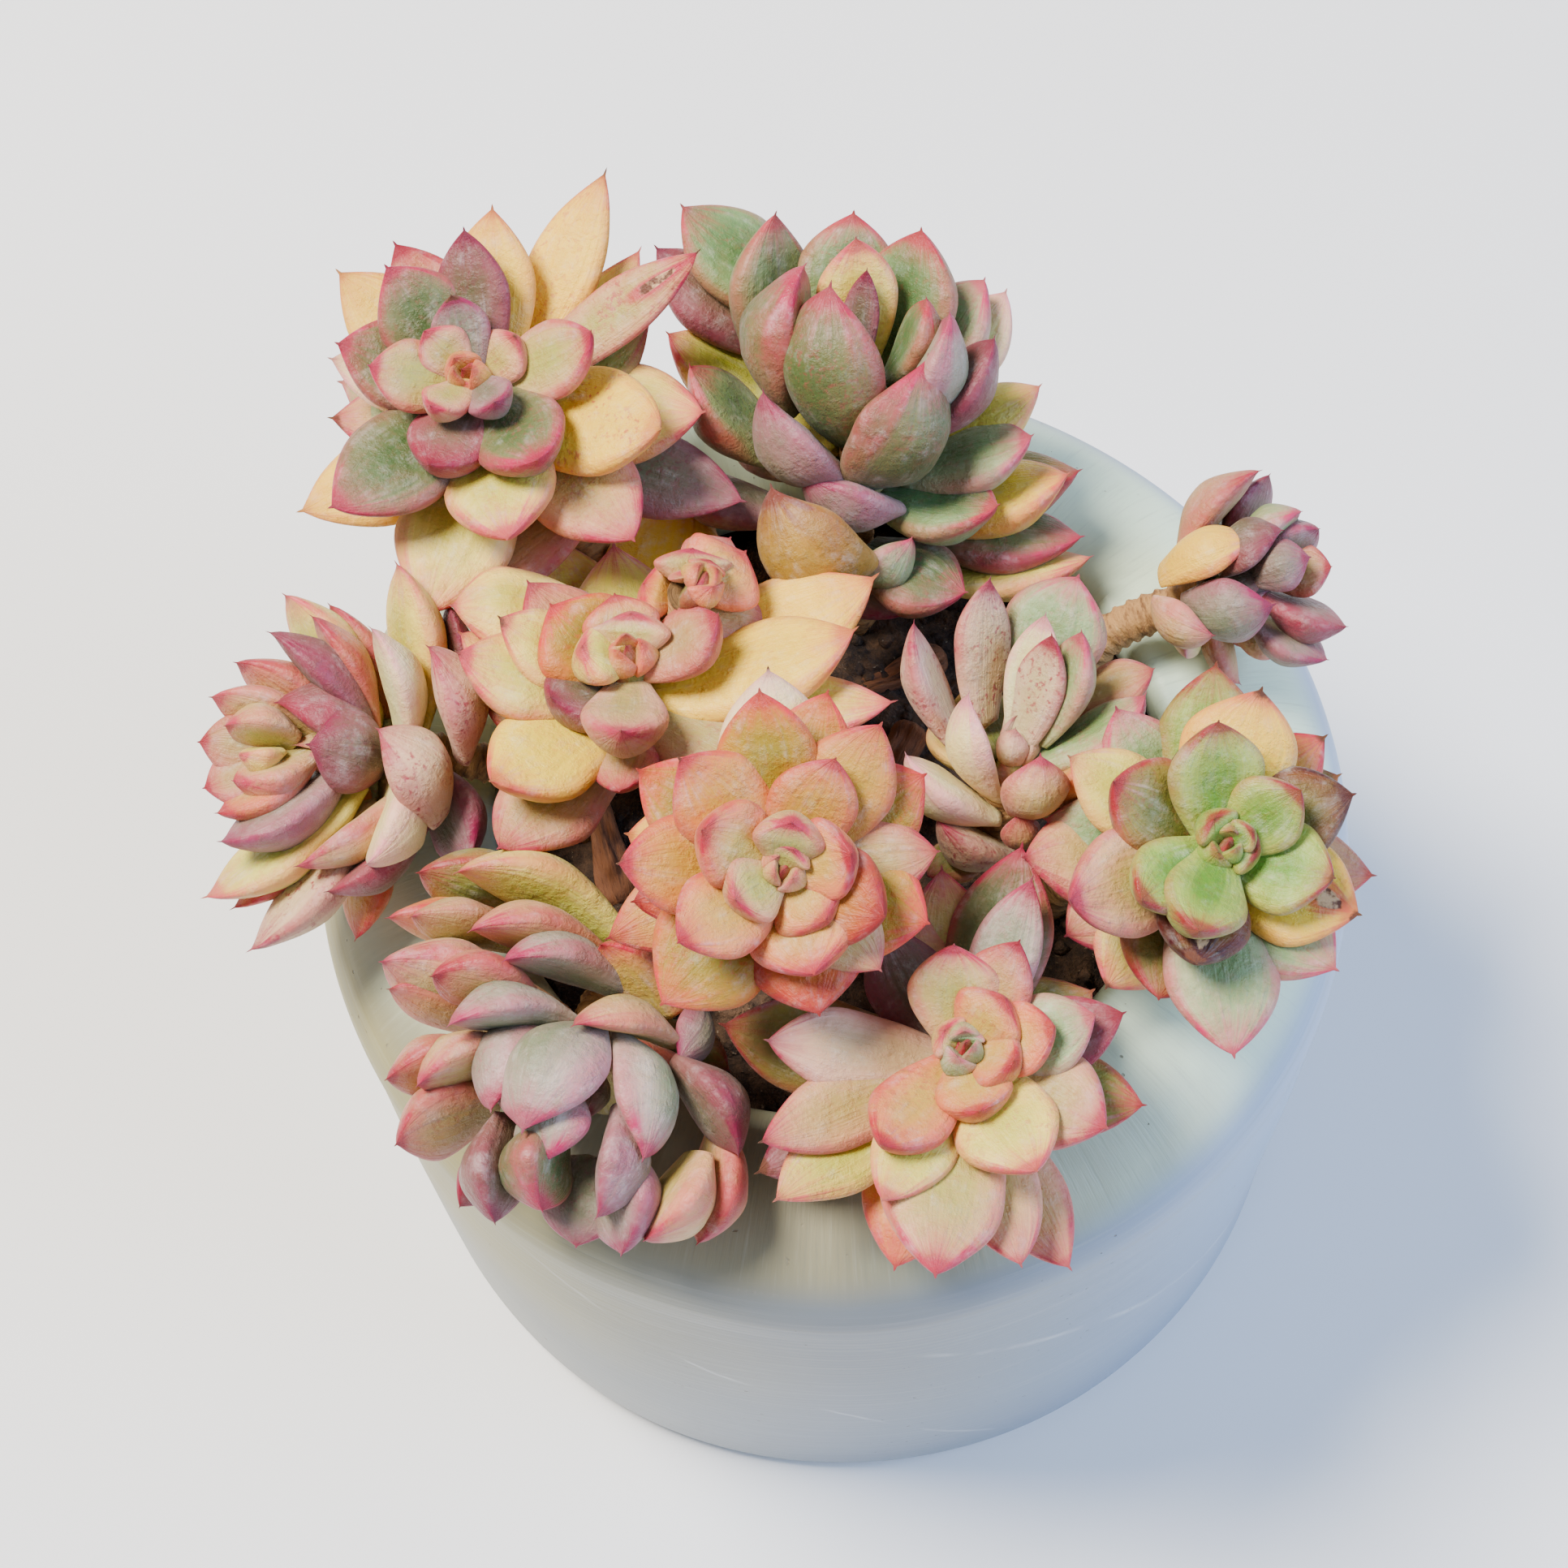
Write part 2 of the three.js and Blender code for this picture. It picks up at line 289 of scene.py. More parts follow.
def ring_frames(path: Array, side: Array) -> tuple[Array, Array]:
    """Side and face directions at each point of a path.

    Args:
        path: (rows, 3) points.
        side: the side direction, roughly square to the path, one or one for each row.

    Returns:
        Two (rows, 3) arrays of unit vectors that are square to each other and to the path.
    """
    along = unit(np.gradient(path, axis=0))
    across = np.broadcast_to(side, path.shape)
    across = unit(across - (across * along).sum(-1, keepdims=True) * along)
    return across, unit(np.cross(across, along))


# ---- node graphs ----

Value = Union["Socket", float, int]


class Socket:
    """An output socket of a shader graph that can be used in sums, products and comparisons."""

    def __init__(self, graph: "Graph", socket: bpy.types.NodeSocket) -> None:
        """Wraps a node's output socket."""
        self.graph = graph
        self.socket = socket

    def __add__(self, other: Value) -> "Socket":
        """Sum."""
        return self.graph.maths("ADD", self, other)

    def __sub__(self, other: Value) -> "Socket":
        """Difference."""
        return self.graph.maths("SUBTRACT", self, other)

    def __mul__(self, other: Value) -> "Socket":
        """Product."""
        return self.graph.maths("MULTIPLY", self, other)

    def __truediv__(self, other: Value) -> "Socket":
        """Quotient."""
        return self.graph.maths("DIVIDE", self, other)

    def __radd__(self, other: Value) -> "Socket":
        """Sum with a plain number in front."""
        return self.graph.maths("ADD", other, self)

    def __rsub__(self, other: Value) -> "Socket":
        """Difference from a plain number."""
        return self.graph.maths("SUBTRACT", other, self)

    def __rmul__(self, other: Value) -> "Socket":
        """Product with a plain number in front."""
        return self.graph.maths("MULTIPLY", other, self)

    def __rtruediv__(self, other: Value) -> "Socket":
        """Quotient of a plain number."""
        return self.graph.maths("DIVIDE", other, self)

    def __pow__(self, other: Value) -> "Socket":
        """Power."""
        return self.graph.maths("POWER", self, other)

    def __abs__(self) -> "Socket":
        """Size without sign."""
        return self.graph.maths("ABSOLUTE", self)

    def step(self, low: Value, high: Value) -> "Socket":
        """Smooth step from 0 at low to 1 at high."""
        return self.graph.add(
            "ShaderNodeMapRange",
            {"interpolation_type": "SMOOTHSTEP"},
            {"Value": self, "From Min": low, "From Max": high},
        )


class Graph:
    """The node graph of one material."""

    def __init__(self, name: str) -> None:
        """Makes an empty material with an output and a principled shader."""
        self.material = bpy.data.materials.new(name)
        self.material.use_nodes = True
        self.nodes = self.material.node_tree.nodes
        self.links = self.material.node_tree.links
        self.nodes.clear()
        self.out = self.nodes.new("ShaderNodeOutputMaterial")
        self.shader = self.nodes.new("ShaderNodeBsdfPrincipled")
        self.links.new(self.shader.outputs["BSDF"], self.out.inputs["Surface"])

    def feed(self, node: bpy.types.Node, key: Union[str, int], value: object) -> None:
        """Links a wrapped socket to an input, or sets the input to a plain value.

        Args:
            node: the node.
            key: name or number of the input.
            value: a wrapped socket or a plain value.
        """
        if isinstance(value, Socket):
            self.links.new(value.socket, node.inputs[key])
        else:
            node.inputs[key].default_value = value

    def add(
        self,
        kind: str,
        settings: Optional[dict[str, object]] = None,
        inputs: Optional[dict[Union[str, int], object]] = None,
        output: Union[str, int] = 0,
    ) -> Socket:
        """Adds any node.

        Args:
            kind: Blender's type name of the node.
            settings: properties, set before the inputs.
            inputs: values or wrapped sockets by input name or number.
            output: which output is wanted.

        Returns:
            The chosen output, wrapped.
        """
        node = self.nodes.new(kind)
        for key, value in (settings or {}).items():
            setattr(node, key, value)
        for key, value in (inputs or {}).items():
            self.feed(node, key, value)
        return Socket(self, node.outputs[output])

    def maths(self, operation: str, a: Value, b: Value = 0.0) -> Socket:
        """One mathematical operation on numbers."""
        return self.add("ShaderNodeMath", {"operation": operation}, {0: a, 1: b})

    def mix(self, mask: Value, a: object, b: object) -> Socket:
        """Colour a where the mask is 0 and colour b where it is 1."""
        settings = {"data_type": "RGBA", "clamp_factor": True}
        return self.add("ShaderNodeMix", settings, {0: mask, 6: a, 7: b}, 2)

    def scaled(self, vector: Socket, by: Triple) -> Socket:
        """A vector with each axis multiplied."""
        return self.add("ShaderNodeVectorMath", {"operation": "MULTIPLY"}, {0: vector, 1: by})

    def place(self) -> Socket:
        """Object coordinates, in metres."""
        return self.add("ShaderNodeTexCoord", output="Object")

    def attribute(self, name: str, output: str = "Color") -> Socket:
        """A per-point attribute of the mesh."""
        return self.add("ShaderNodeAttribute", {"attribute_name": name}, output=output)

    def split(self, vector: Socket) -> tuple[Socket, Socket, Socket]:
        """The three parts of a vector."""
        node = self.nodes.new("ShaderNodeSeparateXYZ")
        self.feed(node, 0, vector)
        return Socket(self, node.outputs[0]), Socket(self, node.outputs[1]), Socket(self, node.outputs[2])

    def noise(self, where: Socket, scale: float, detail: float = 3.0, rough: float = 0.55) -> Socket:
        """Soft noise around 0.5."""
        inputs = {"Vector": where, "Scale": scale, "Detail": detail, "Roughness": rough}
        return self.add("ShaderNodeTexNoise", {}, inputs)

    def finish(
        self,
        colour: Socket,
        roughness: Value,
        height: Optional[Socket] = None,
        depth: float = 0.0005,
        constants: Optional[dict[str, object]] = None,
    ) -> bpy.types.Material:
        """Feeds the principled shader.

        Args:
            colour: base colour.
            roughness: roughness, a number or a socket.
            height: relief for a bump, where 1 stands depth above 0.
            depth: height of the relief in metres.
            constants: plain values for other inputs of the shader.

        Returns:
            The finished material.
        """
        self.feed(self.shader, "Base Color", colour)
        self.feed(self.shader, "Roughness", roughness)
        if height is not None:
            bump = {"Strength": 1.0, "Distance": depth, "Height": height}
            self.feed(self.shader, "Normal", self.add("ShaderNodeBump", {}, bump))
        for key, value in (constants or {}).items():
            self.feed(self.shader, key, value)
        return self.material


# ---- finishes ----


class Tint(Enum):
    """Colourings of a leaf: its face, its green middle and its margin, as 0..255 screen values."""

    SHELL = ((234, 196, 170), (206, 198, 134), (206, 60, 104))
    CORAL = ((236, 168, 140), (216, 194, 120), (200, 36, 84))
    EMBER = ((216, 116, 90), (206, 164, 92), (180, 28, 58))
    PEACH = ((232, 172, 124), (212, 186, 96), (206, 62, 92))
    OCHRE = ((214, 178, 90), (182, 170, 66), (222, 88, 84))
    IVORY = ((242, 232, 198), (234, 228, 176), (236, 196, 168))
    HONEY = ((208, 176, 104), (180, 158, 76), (150, 96, 70))
    BUTTER = ((248, 224, 122), (240, 218, 108), (222, 138, 100))
    MAUVE = ((184, 136, 140), (146, 142, 112), (160, 34, 92))
    SAGE = ((172, 166, 132), (124, 146, 102), (200, 46, 104))
    MAGENTA = ((190, 116, 134), (160, 146, 128), (170, 14, 84))
    ROSE = ((222, 160, 150), (206, 186, 140), (190, 36, 88))
    BLUSH = ((232, 196, 170), (204, 192, 136), (200, 76, 106))
    CREAM = ((246, 230, 158), (214, 210, 118), (222, 124, 116))
    LILAC = ((198, 168, 170), (160, 162, 140), (176, 52, 108))
    LIME = ((206, 214, 140), (146, 182, 92), (176, 26, 62))
    WINE = ((172, 92, 82), (152, 150, 78), (100, 10, 40))
    OLIVE = ((188, 180, 118), (146, 152, 84), (186, 66, 80))
    MINT = ((206, 210, 176), (160, 182, 136), (212, 96, 122))
    FERN = ((176, 190, 150), (128, 158, 112), (206, 36, 92))
    FRECKLE = ((234, 206, 190), (220, 204, 172), (188, 48, 98))
    FROST = ((214, 198, 190), (164, 174, 146), (198, 60, 116))


# Strengths of freckles, dry tip and pink margin where the colouring alone settles them.
HABITS = {Tint.FRECKLE: (1.0, 0.0, 0.9), Tint.LIME: (0.2, 0.0, 0.85)}
PALE_TINTS = (Tint.BUTTER, Tint.IVORY)
UNDER_TINTS = (Tint.CREAM, Tint.BLUSH, Tint.OLIVE, Tint.MINT, Tint.ROSE)
# How much deeper than others the back of the one ochre leaf is, which is nearly a ball.
BALL_KEEL = 1.5
# Where the numbers of each kind of leaf start, after those of the rows.
UNDER_NUMBER, BUD_NUMBER, CORE_NUMBER, STRAY_NUMBER = 60, 90, 99, 200
# Cosine from the line of sight past which a rosette shows its heart rather than its side.
SHOWS_HEART = 0.7


# ---- leaf rows ----

# Each row places one leaf: where its tip stands from the rosette's heart in millimetres, along
# VIEW_RIGHT, VIEW_UP and VIEW_BACK, then its greatest width, its colouring and how far its back
# bulges. Rows run from the youngest leaf to the oldest.
LeafRow = tuple[float, float, float, float, Tint, float]
# A stray leaf has its own foot, then its tip, width, colouring and bulge.
StrayRow = tuple[Triple, Triple, float, Tint, float]

CENTRE_LEAVES: list[LeafRow] = [
    (1.2, 2.6, 4, 5.5, Tint.SHELL, 0.3), (1, 5.8, 5.5, 8.5, Tint.SHELL, 0.3),
    (-5.6, -3.2, 5.5, 9, Tint.SHELL, 0.3), (8, 2.1, 5.5, 10, Tint.CORAL, 0.3),
    (-9.6, 4.9, 4, 11, Tint.CORAL, 0.22), (5, -5.8, 6, 10.5, Tint.CORAL, 0.3),
    (-12.4, -8.3, 3, 11, Tint.CORAL, 0.15), (12, -5.3, 4, 12, Tint.EMBER, 0.25),
    (3.7, -12.2, 4.5, 13, Tint.PEACH, 0.25), (6.3, 13.5, 2.5, 11, Tint.PEACH, 0.12),
    (-12.4, 13.5, 0, 12.5, Tint.PEACH, 0.12), (-19.7, 0.9, -1, 12, Tint.PEACH, 0.12),
    (-2.8, 21.7, -1, 12.5, Tint.OCHRE, 0.1), (11.8, 17.7, -1, 12, Tint.PEACH, 0.1),
    (4.4, -17.4, -1, 14, Tint.EMBER, 0.2), (17.6, -6.4, -1, 14, Tint.OCHRE, 0.2),
    (-14.7, -16.2, -4, 15, Tint.OCHRE, 0.12), (17.3, 11.6, -4, 13, Tint.OCHRE, 0.1),
    (5.5, 21.7, -5, 11.5, Tint.OCHRE, 0.1), (-17.7, 12.2, -5, 12, Tint.OCHRE, 0.1),
    (-1.8, 24.5, -6, 14, Tint.IVORY, 0.1), (-18.5, -4, -6, 10, Tint.EMBER, 0.1),
    (-21.6, -8.6, -8, 10, Tint.CORAL, 0.1), (-19.3, 4.3, -9, 12, Tint.BUTTER, 0.1),
]
REAR_LEFT_LEAVES: list[LeafRow] = [
    (-0.5, -1.5, 3, 4.5, Tint.CORAL, 0.3), (-3.7, -5, 5, 6.5, Tint.SHELL, 0.3),
    (4.5, -4.7, 7, 6.5, Tint.LILAC, 0.3), (-5, 5, 4, 7, Tint.SHELL, 0.25),
    (-1.5, 9.5, 5, 7.5, Tint.LILAC, 0.3), (-12, 0.5, 4, 9.5, Tint.SHELL, 0.15),
    (6.5, 4.5, 8.5, 7.5, Tint.SHELL, 0.35), (-4, -12.4, 6, 11, Tint.MAGENTA, 0.3),
    (10, -12.2, 6, 12.5, Tint.SAGE, 0.25), (16.7, 4.5, 4, 10, Tint.SHELL, 0.2),
    (-10.4, 14, 3, 12, Tint.SAGE, 0.12), (-0.2, 18.8, 2, 10, Tint.MAUVE, 0.12),
    (-17, 4.2, 1, 12, Tint.SAGE, 0.15), (-17, -17.7, -2, 14, Tint.SAGE, 0.12),
    (6, -22, -1, 14, Tint.CREAM, 0.15), (25.6, -8, 0, 15, Tint.BUTTER, 0.2),
    (-10, 18, -4, 11, Tint.ROSE, 0.1), (3, 22.6, -4, 12, Tint.BUTTER, 0.1),
    (-18.7, 3, -5, 10, Tint.IVORY, 0.1), (30.3, 15.7, 1, 8, Tint.SHELL, 0.1),
    (22, -22, -5, 14, Tint.BLUSH, 0.12), (-18.2, 15.2, -6, 12.5, Tint.BUTTER, 0.1),
    (-5.5, -31.3, -6, 15, Tint.CREAM, 0.12), (17.7, 27.9, -3, 10.5, Tint.BUTTER, 0.05),
    (-23, -17, -8, 13, Tint.BUTTER, 0.1), (30.8, -4.5, -7, 14, Tint.CREAM, 0.15),
    (-19.7, -4, -8, 10, Tint.BLUSH, 0.1), (-1.5, 20, -7, 9, Tint.BLUSH, 0.1),
    (22, 18.4, -7, 8, Tint.CREAM, 0.1), (-1.2, -31, -10, 11, Tint.ROSE, 0.1),
    (36, -16, -10, 12, Tint.LILAC, 0.1),
]
REAR_LEFT_STRAYS: list[StrayRow] = [
    ((17, -12, -14), (-3, -29, -12), 11, Tint.ROSE, 0.12),
]
RIGHT_LEAVES: list[LeafRow] = [
    (2.7, 1.5, 3, 4.5, Tint.LIME, 0.2), (-1.9, 3, 5, 6.5, Tint.LIME, 0.25),
    (3.6, -0.9, 5, 6.5, Tint.LIME, 0.25), (-4.6, -10.4, 4, 11, Tint.LIME, 0.25),
    (8.7, 6.5, 3.5, 10, Tint.LIME, 0.15), (-11.4, -6.8, 3, 10, Tint.LIME, 0.2),
    (-1.5, 15, 2.5, 12, Tint.LIME, 0.08), (13, -4.3, 4, 12, Tint.LIME, 0.2),
    (-4.4, -14.6, 2.5, 12, Tint.WINE, 0.2), (-14.3, 7.5, 1, 12.5, Tint.OLIVE, 0.15),
    (-20, -6.8, -2, 13.5, Tint.BLUSH, 0.15), (16.3, 6, -3, 12, Tint.WINE, 0.1),
    (4.8, 19.2, -2, 14.5, Tint.BUTTER, 0.15), (17, -9, -4, 14, Tint.BUTTER, 0.15),
    (-4.7, 12.2, -2, 8, Tint.WINE, 0.1), (0.8, -26.4, -6, 14, Tint.MINT, 0.12),
    (14.5, -16, -7, 14, Tint.MINT, 0.12), (-8, -19.5, -3, 14, Tint.OLIVE, 0.25),
    (0, 22.5, -6, 13, Tint.LIME, 0.12), (14.3, 13.4, -7, 11, Tint.PEACH, 0.1),
    (-12.6, 17, -5, 12, Tint.MINT, 0.15), (20.6, -4.4, -8, 11, Tint.BLUSH, 0.1),
    (-24.5, -2, -6, 13, Tint.BLUSH, 0.12), (-14, -18.5, -7, 13, Tint.CREAM, 0.15),
    (-19, -12, -9, 12, Tint.BLUSH, 0.1),
]
FRONT_RIGHT_LEAVES: list[LeafRow] = [
    (0.3, 1.3, 3, 4.5, Tint.MINT, 0.2), (-0.7, -0.9, 3, 4, Tint.CORAL, 0.2),
    (-2.5, 1.6, 5, 6, Tint.SHELL, 0.3), (5.7, -1.8, 6, 8, Tint.CORAL, 0.3),
    (4.8, 5.7, 5, 9.5, Tint.CORAL, 0.2), (1.4, -7.7, 7, 9.5, Tint.CORAL, 0.3),
    (10.7, 2.3, 5, 9, Tint.CORAL, 0.25), (-1.3, 12, 3.5, 11.5, Tint.SHELL, 0.2),
    (-10.5, -11.4, 3.5, 10.5, Tint.CORAL, 0.2), (6.8, 12.5, 1.5, 9, Tint.ROSE, 0.1),
    (8.2, -14.7, 2.5, 13, Tint.CREAM, 0.15), (16, 3.6, -0.5, 10.5, Tint.MINT, 0.12),
    (-10.4, -18.2, -0.5, 10, Tint.CREAM, 0.12), (17, -10, -2, 13, Tint.BLUSH, 0.12),
    (-4.1, -26.8, -2, 15, Tint.SHELL, 0.12), (19.8, 3.6, -4, 10, Tint.MAGENTA, 0.12),
    (8.8, 20, -1, 8.5, Tint.FROST, 0.1), (-24.3, 0.2, -3, 11, Tint.FRECKLE, 0.15),
    (-25, -12, -5, 10, Tint.BLUSH, 0.1), (6.6, -26.6, -5, 11, Tint.BLUSH, 0.12),
    (-23.2, -19.1, -7, 10.5, Tint.CREAM, 0.12), (22.5, -8, -6, 11, Tint.OLIVE, 0.1),
    (8, 24, -4, 13, Tint.SAGE, 0.1), (-10, 14, -3, 11, Tint.MAUVE, 0.1),
    (-6, 16.5, -3, 9, Tint.ROSE, 0.1), (-2, 21, -5, 12, Tint.BLUSH, 0.1),
    (13.2, -28, -9, 10.5, Tint.BLUSH, 0.1), (-8.4, -28.2, -9, 13, Tint.PEACH, 0.1),
    (-30, 1.3, -9, 13, Tint.OLIVE, 0.1), (-25.5, -17, -12, 11, Tint.MAUVE, 0.1),
]
MID_LEFT_LEAVES: list[LeafRow] = [
    (-0.6, 1, 2, 4.5, Tint.CORAL, 0.2), (0.4, 4.3, 4, 10, Tint.SHELL, 0.4),
    (-5.6, 0, 5, 9, Tint.CREAM, 0.25), (-1.7, 6.9, -1, 10, Tint.CORAL, 0.1),
    (11.5, 4.2, 4, 10, Tint.ROSE, 0.3), (-0.2, -10.6, 7, 11, Tint.BLUSH, 0.25),
    (-9.9, 5.6, 1, 13.5, Tint.OCHRE, 0.12), (-9.4, -6.3, 6, 11, Tint.MAUVE, 0.3),
    (-16.4, 4, 1, 10.5, Tint.CREAM, 0.15), (-13.1, 8.8, -3, 12, Tint.ROSE, 0.12),
    (-21.6, -0.5, -3, 13, Tint.CREAM, 0.15), (29, 2.5, -2, 14, Tint.BUTTER, 0.15),
    (-16.6, -16.9, 0, 13.5, Tint.BUTTER, 0.15), (-0.8, -18.2, 3, 9, Tint.ROSE, 0.1),
    (31.8, 9.7, -6, 15, Tint.BUTTER, 0.15), (33.9, -6.8, -6, 11, Tint.CREAM, 0.08),
    (-22.4, 2.5, -8, 14, Tint.CREAM, 0.1), (-19, -7, -7, 12, Tint.OLIVE, 0.1),
    (-16, -25.3, -4, 13.5, Tint.BLUSH, 0.15), (-3, 15, -8, 14, Tint.CREAM, 0.1),
    (-17, 9, -10, 13, Tint.CREAM, 0.1),
    (6.3, 25.5, -8, 17, Tint.BUTTER, 0.15), (-11, 16.5, -8, 14, Tint.CREAM, 0.1),
]
MID_LEFT_STRAYS: list[StrayRow] = [
    ((-6, 5, -12), (-23, 5.5, -9), 12, Tint.CREAM, 0.1),
]
MID_OFFSET_LEAVES: list[LeafRow] = [
    (0.5, 2, 3, 5, Tint.CORAL, 0.2), (-1.5, 1, 6, 8, Tint.SHELL, 0.25),
    (-1.7, 3.7, 3, 10, Tint.SHELL, 0.35), (5, 3.6, 3, 12, Tint.CORAL, 0.3),
    (3, 5.5, 0, 9, Tint.ROSE, 0.1), (-8, -0.8, 1, 9, Tint.PEACH, 0.2),
    (8, -5, 2, 9, Tint.ROSE, 0.2),
]
REAR_CENTRE_STRAYS: list[StrayRow] = [
    ((-0.5, -6, -5), (1.5, 7.9, 1.5), 5, Tint.MAUVE, 0.1),
    ((0.5, -4, -7), (0, 12, 1), 10.5, Tint.CREAM, 0.2),
    ((-0.5, -14, -7), (-3.3, 5.3, 7), 15.5, Tint.SAGE, 0.2),
    ((4, -6, -5), (9, 4, 3), 9, Tint.FERN, 0.2),
    ((5, -4, -12), (8.7, 14, -4), 14.5, Tint.FERN, 0.1),
    ((4, -12, -7), (12, 2.2, 4), 12, Tint.FROST, 0.2),
    ((-8, -10, -8), (-6.3, 8.2, 4), 14.5, Tint.SAGE, 0.22),
    ((0, -19, -10), (9.3, -3.5, 4), 17, Tint.SAGE, 0.22),
    ((-10, -5, -16), (-10.2, 16.8, -8), 12.5, Tint.FERN, 0.2),
    ((7, -13, -10), (18.1, -0.5, -1), 11, Tint.MAUVE, 0.15),
    ((-1, -18.5, -9), (-12, -7.6, 1), 14, Tint.LILAC, 0.22),
    ((-1, 0, -14), (0, 17, -9), 13, Tint.FERN, 0.12),
    ((7, -5, -15), (17.3, 8.2, -9), 12, Tint.MINT, 0.12),
    ((6, -17, -16), (23.6, -12.5, -8), 12.5, Tint.MINT, 0.15),
    ((3, -20, -15), (19, -21.8, -6), 13, Tint.FERN, 0.2),
    ((6, -22, -11), (-7, -18, -3), 12, Tint.LILAC, 0.2),
    ((2, -29, -11), (-11, -19.5, -1), 15.5, Tint.HONEY, 0.3),
    ((-9, -15, -16), (-21.7, -3.2, -8), 12, Tint.FERN, 0.15),
    ((9, -8, -18), (20.4, 7.3, -13), 11, Tint.IVORY, 0.1),
    ((8, -22, -20), (28.8, -17, -13), 13.5, Tint.BUTTER, 0.15),
    ((0, -31, -13), (7.7, -25.7, -8), 9.5, Tint.MINT, 0.2),
    ((-6, 4, -18), (-23, 18.6, -14), 14, Tint.FERN, 0.12),
    ((8, -14, -19), (25.1, -5.2, -14), 12, Tint.CREAM, 0.12),
    ((1, -27, -14), (15, -33, -10), 13, Tint.SAGE, 0.2),
    ((8, -24, -22), (31, -25.2, -17), 12.5, Tint.SAGE, 0.1),
    ((-8, -8, -20), (-25, 2, -16), 12, Tint.CREAM, 0.1),
    ((8, -20, -22), (30.8, -16.2, -18), 15, Tint.OLIVE, 0.08),
    ((-8, 0, -20), (-26.5, 13.3, -15), 12, Tint.MAUVE, 0.1),
    ((-8, -22, -18), (-26, -17.5, -14), 11, Tint.LILAC, 0.1),
    ((10, -31, -22), (32.3, -27.7, -18), 10, Tint.CREAM, 0.08),
    ((0, -27, -20), (6.5, -36, -16), 11, Tint.LILAC, 0.1),
]
FAR_LEFT_STRAYS: list[StrayRow] = [
    ((4, 0, -3), (-1, -0.5, 1), 6, Tint.CREAM, 0.15),
    ((6, 1, -4), (-3.2, 3.2, 0), 8.5, Tint.SHELL, 0.2),
    ((7.6, 0, -5), (-2.2, -3.8, 0), 10, Tint.SHELL, 0.2),
    ((4, 0, -5), (-7.2, 1.2, -4), 8, Tint.ROSE, 0.12),
    ((9, 1.5, -6), (-5.4, 7, -2), 8.5, Tint.SHELL, 0.15),
    ((8, 0, -5), (-4.5, -8, -1), 9, Tint.CORAL, 0.2),
    ((3, -1, -4), (-6.5, -4.8, -4), 8, Tint.ROSE, 0.12),
    ((15.5, -0.7, -8), (3, 6.2, -1), 12, Tint.MAGENTA, 0.25),
    ((12, -1, -7), (-3.8, -11.6, 1), 11.5, Tint.LILAC, 0.2),
    ((11, 2, -8), (-2.4, 11.5, -3), 9.5, Tint.ROSE, 0.15),
    ((16, -1, -8), (7.8, 0.8, 4), 11, Tint.MAUVE, 0.25),
    ((15, 1.5, -7), (2.3, 15.3, 0), 9.5, Tint.MAUVE, 0.15),
    ((14, -3, -8), (-6.6, -19, -4), 11, Tint.CREAM, 0.12),
    ((20, -4, -7), (5.8, -14.8, 1), 8.5, Tint.BLUSH, 0.15),
    ((15, 2, -9), (7.5, 17.5, -2), 9, Tint.ROSE, 0.15),
    ((18, -3, -6), (15.3, -14.4, 4), 11, Tint.IVORY, 0.25),
    ((24, -8.5, -5), (16.4, 3, 3), 11.5, Tint.FRECKLE, 0.25),
    ((14, 4, -12), (3.6, 20.4, -5), 11, Tint.CREAM, 0.12),
    ((19, -1, -8), (15.6, 15.8, 3), 9, Tint.IVORY, 0.2),
    ((22, -9, -7), (9.4, -18, -1), 9, Tint.MAGENTA, 0.15),
    ((15, -6, -9), (-0.6, -25.8, -3), 11.5, Tint.FRECKLE, 0.12),
    ((26.5, -1, -7), (22.8, 13.4, 3), 12, Tint.FRECKLE, 0.2),
    ((14, -4, -11), (-3.6, -20.6, -8), 9, Tint.PEACH, 0.1),
    ((16, 4, -14), (9, 19.3, -8), 8, Tint.ROSE, 0.1),
    ((20, 2, -12), (18.3, 24.4, -3), 11.5, Tint.CREAM, 0.15),
    ((21, -3, -12), (27.6, -14.2, -4), 11, Tint.LILAC, 0.2),
    ((14, -8, -12), (12.4, -24.6, -9), 9, Tint.PEACH, 0.1),
    ((25, 4, -14), (24.3, 19.4, -7), 7.5, Tint.MAUVE, 0.1),
]
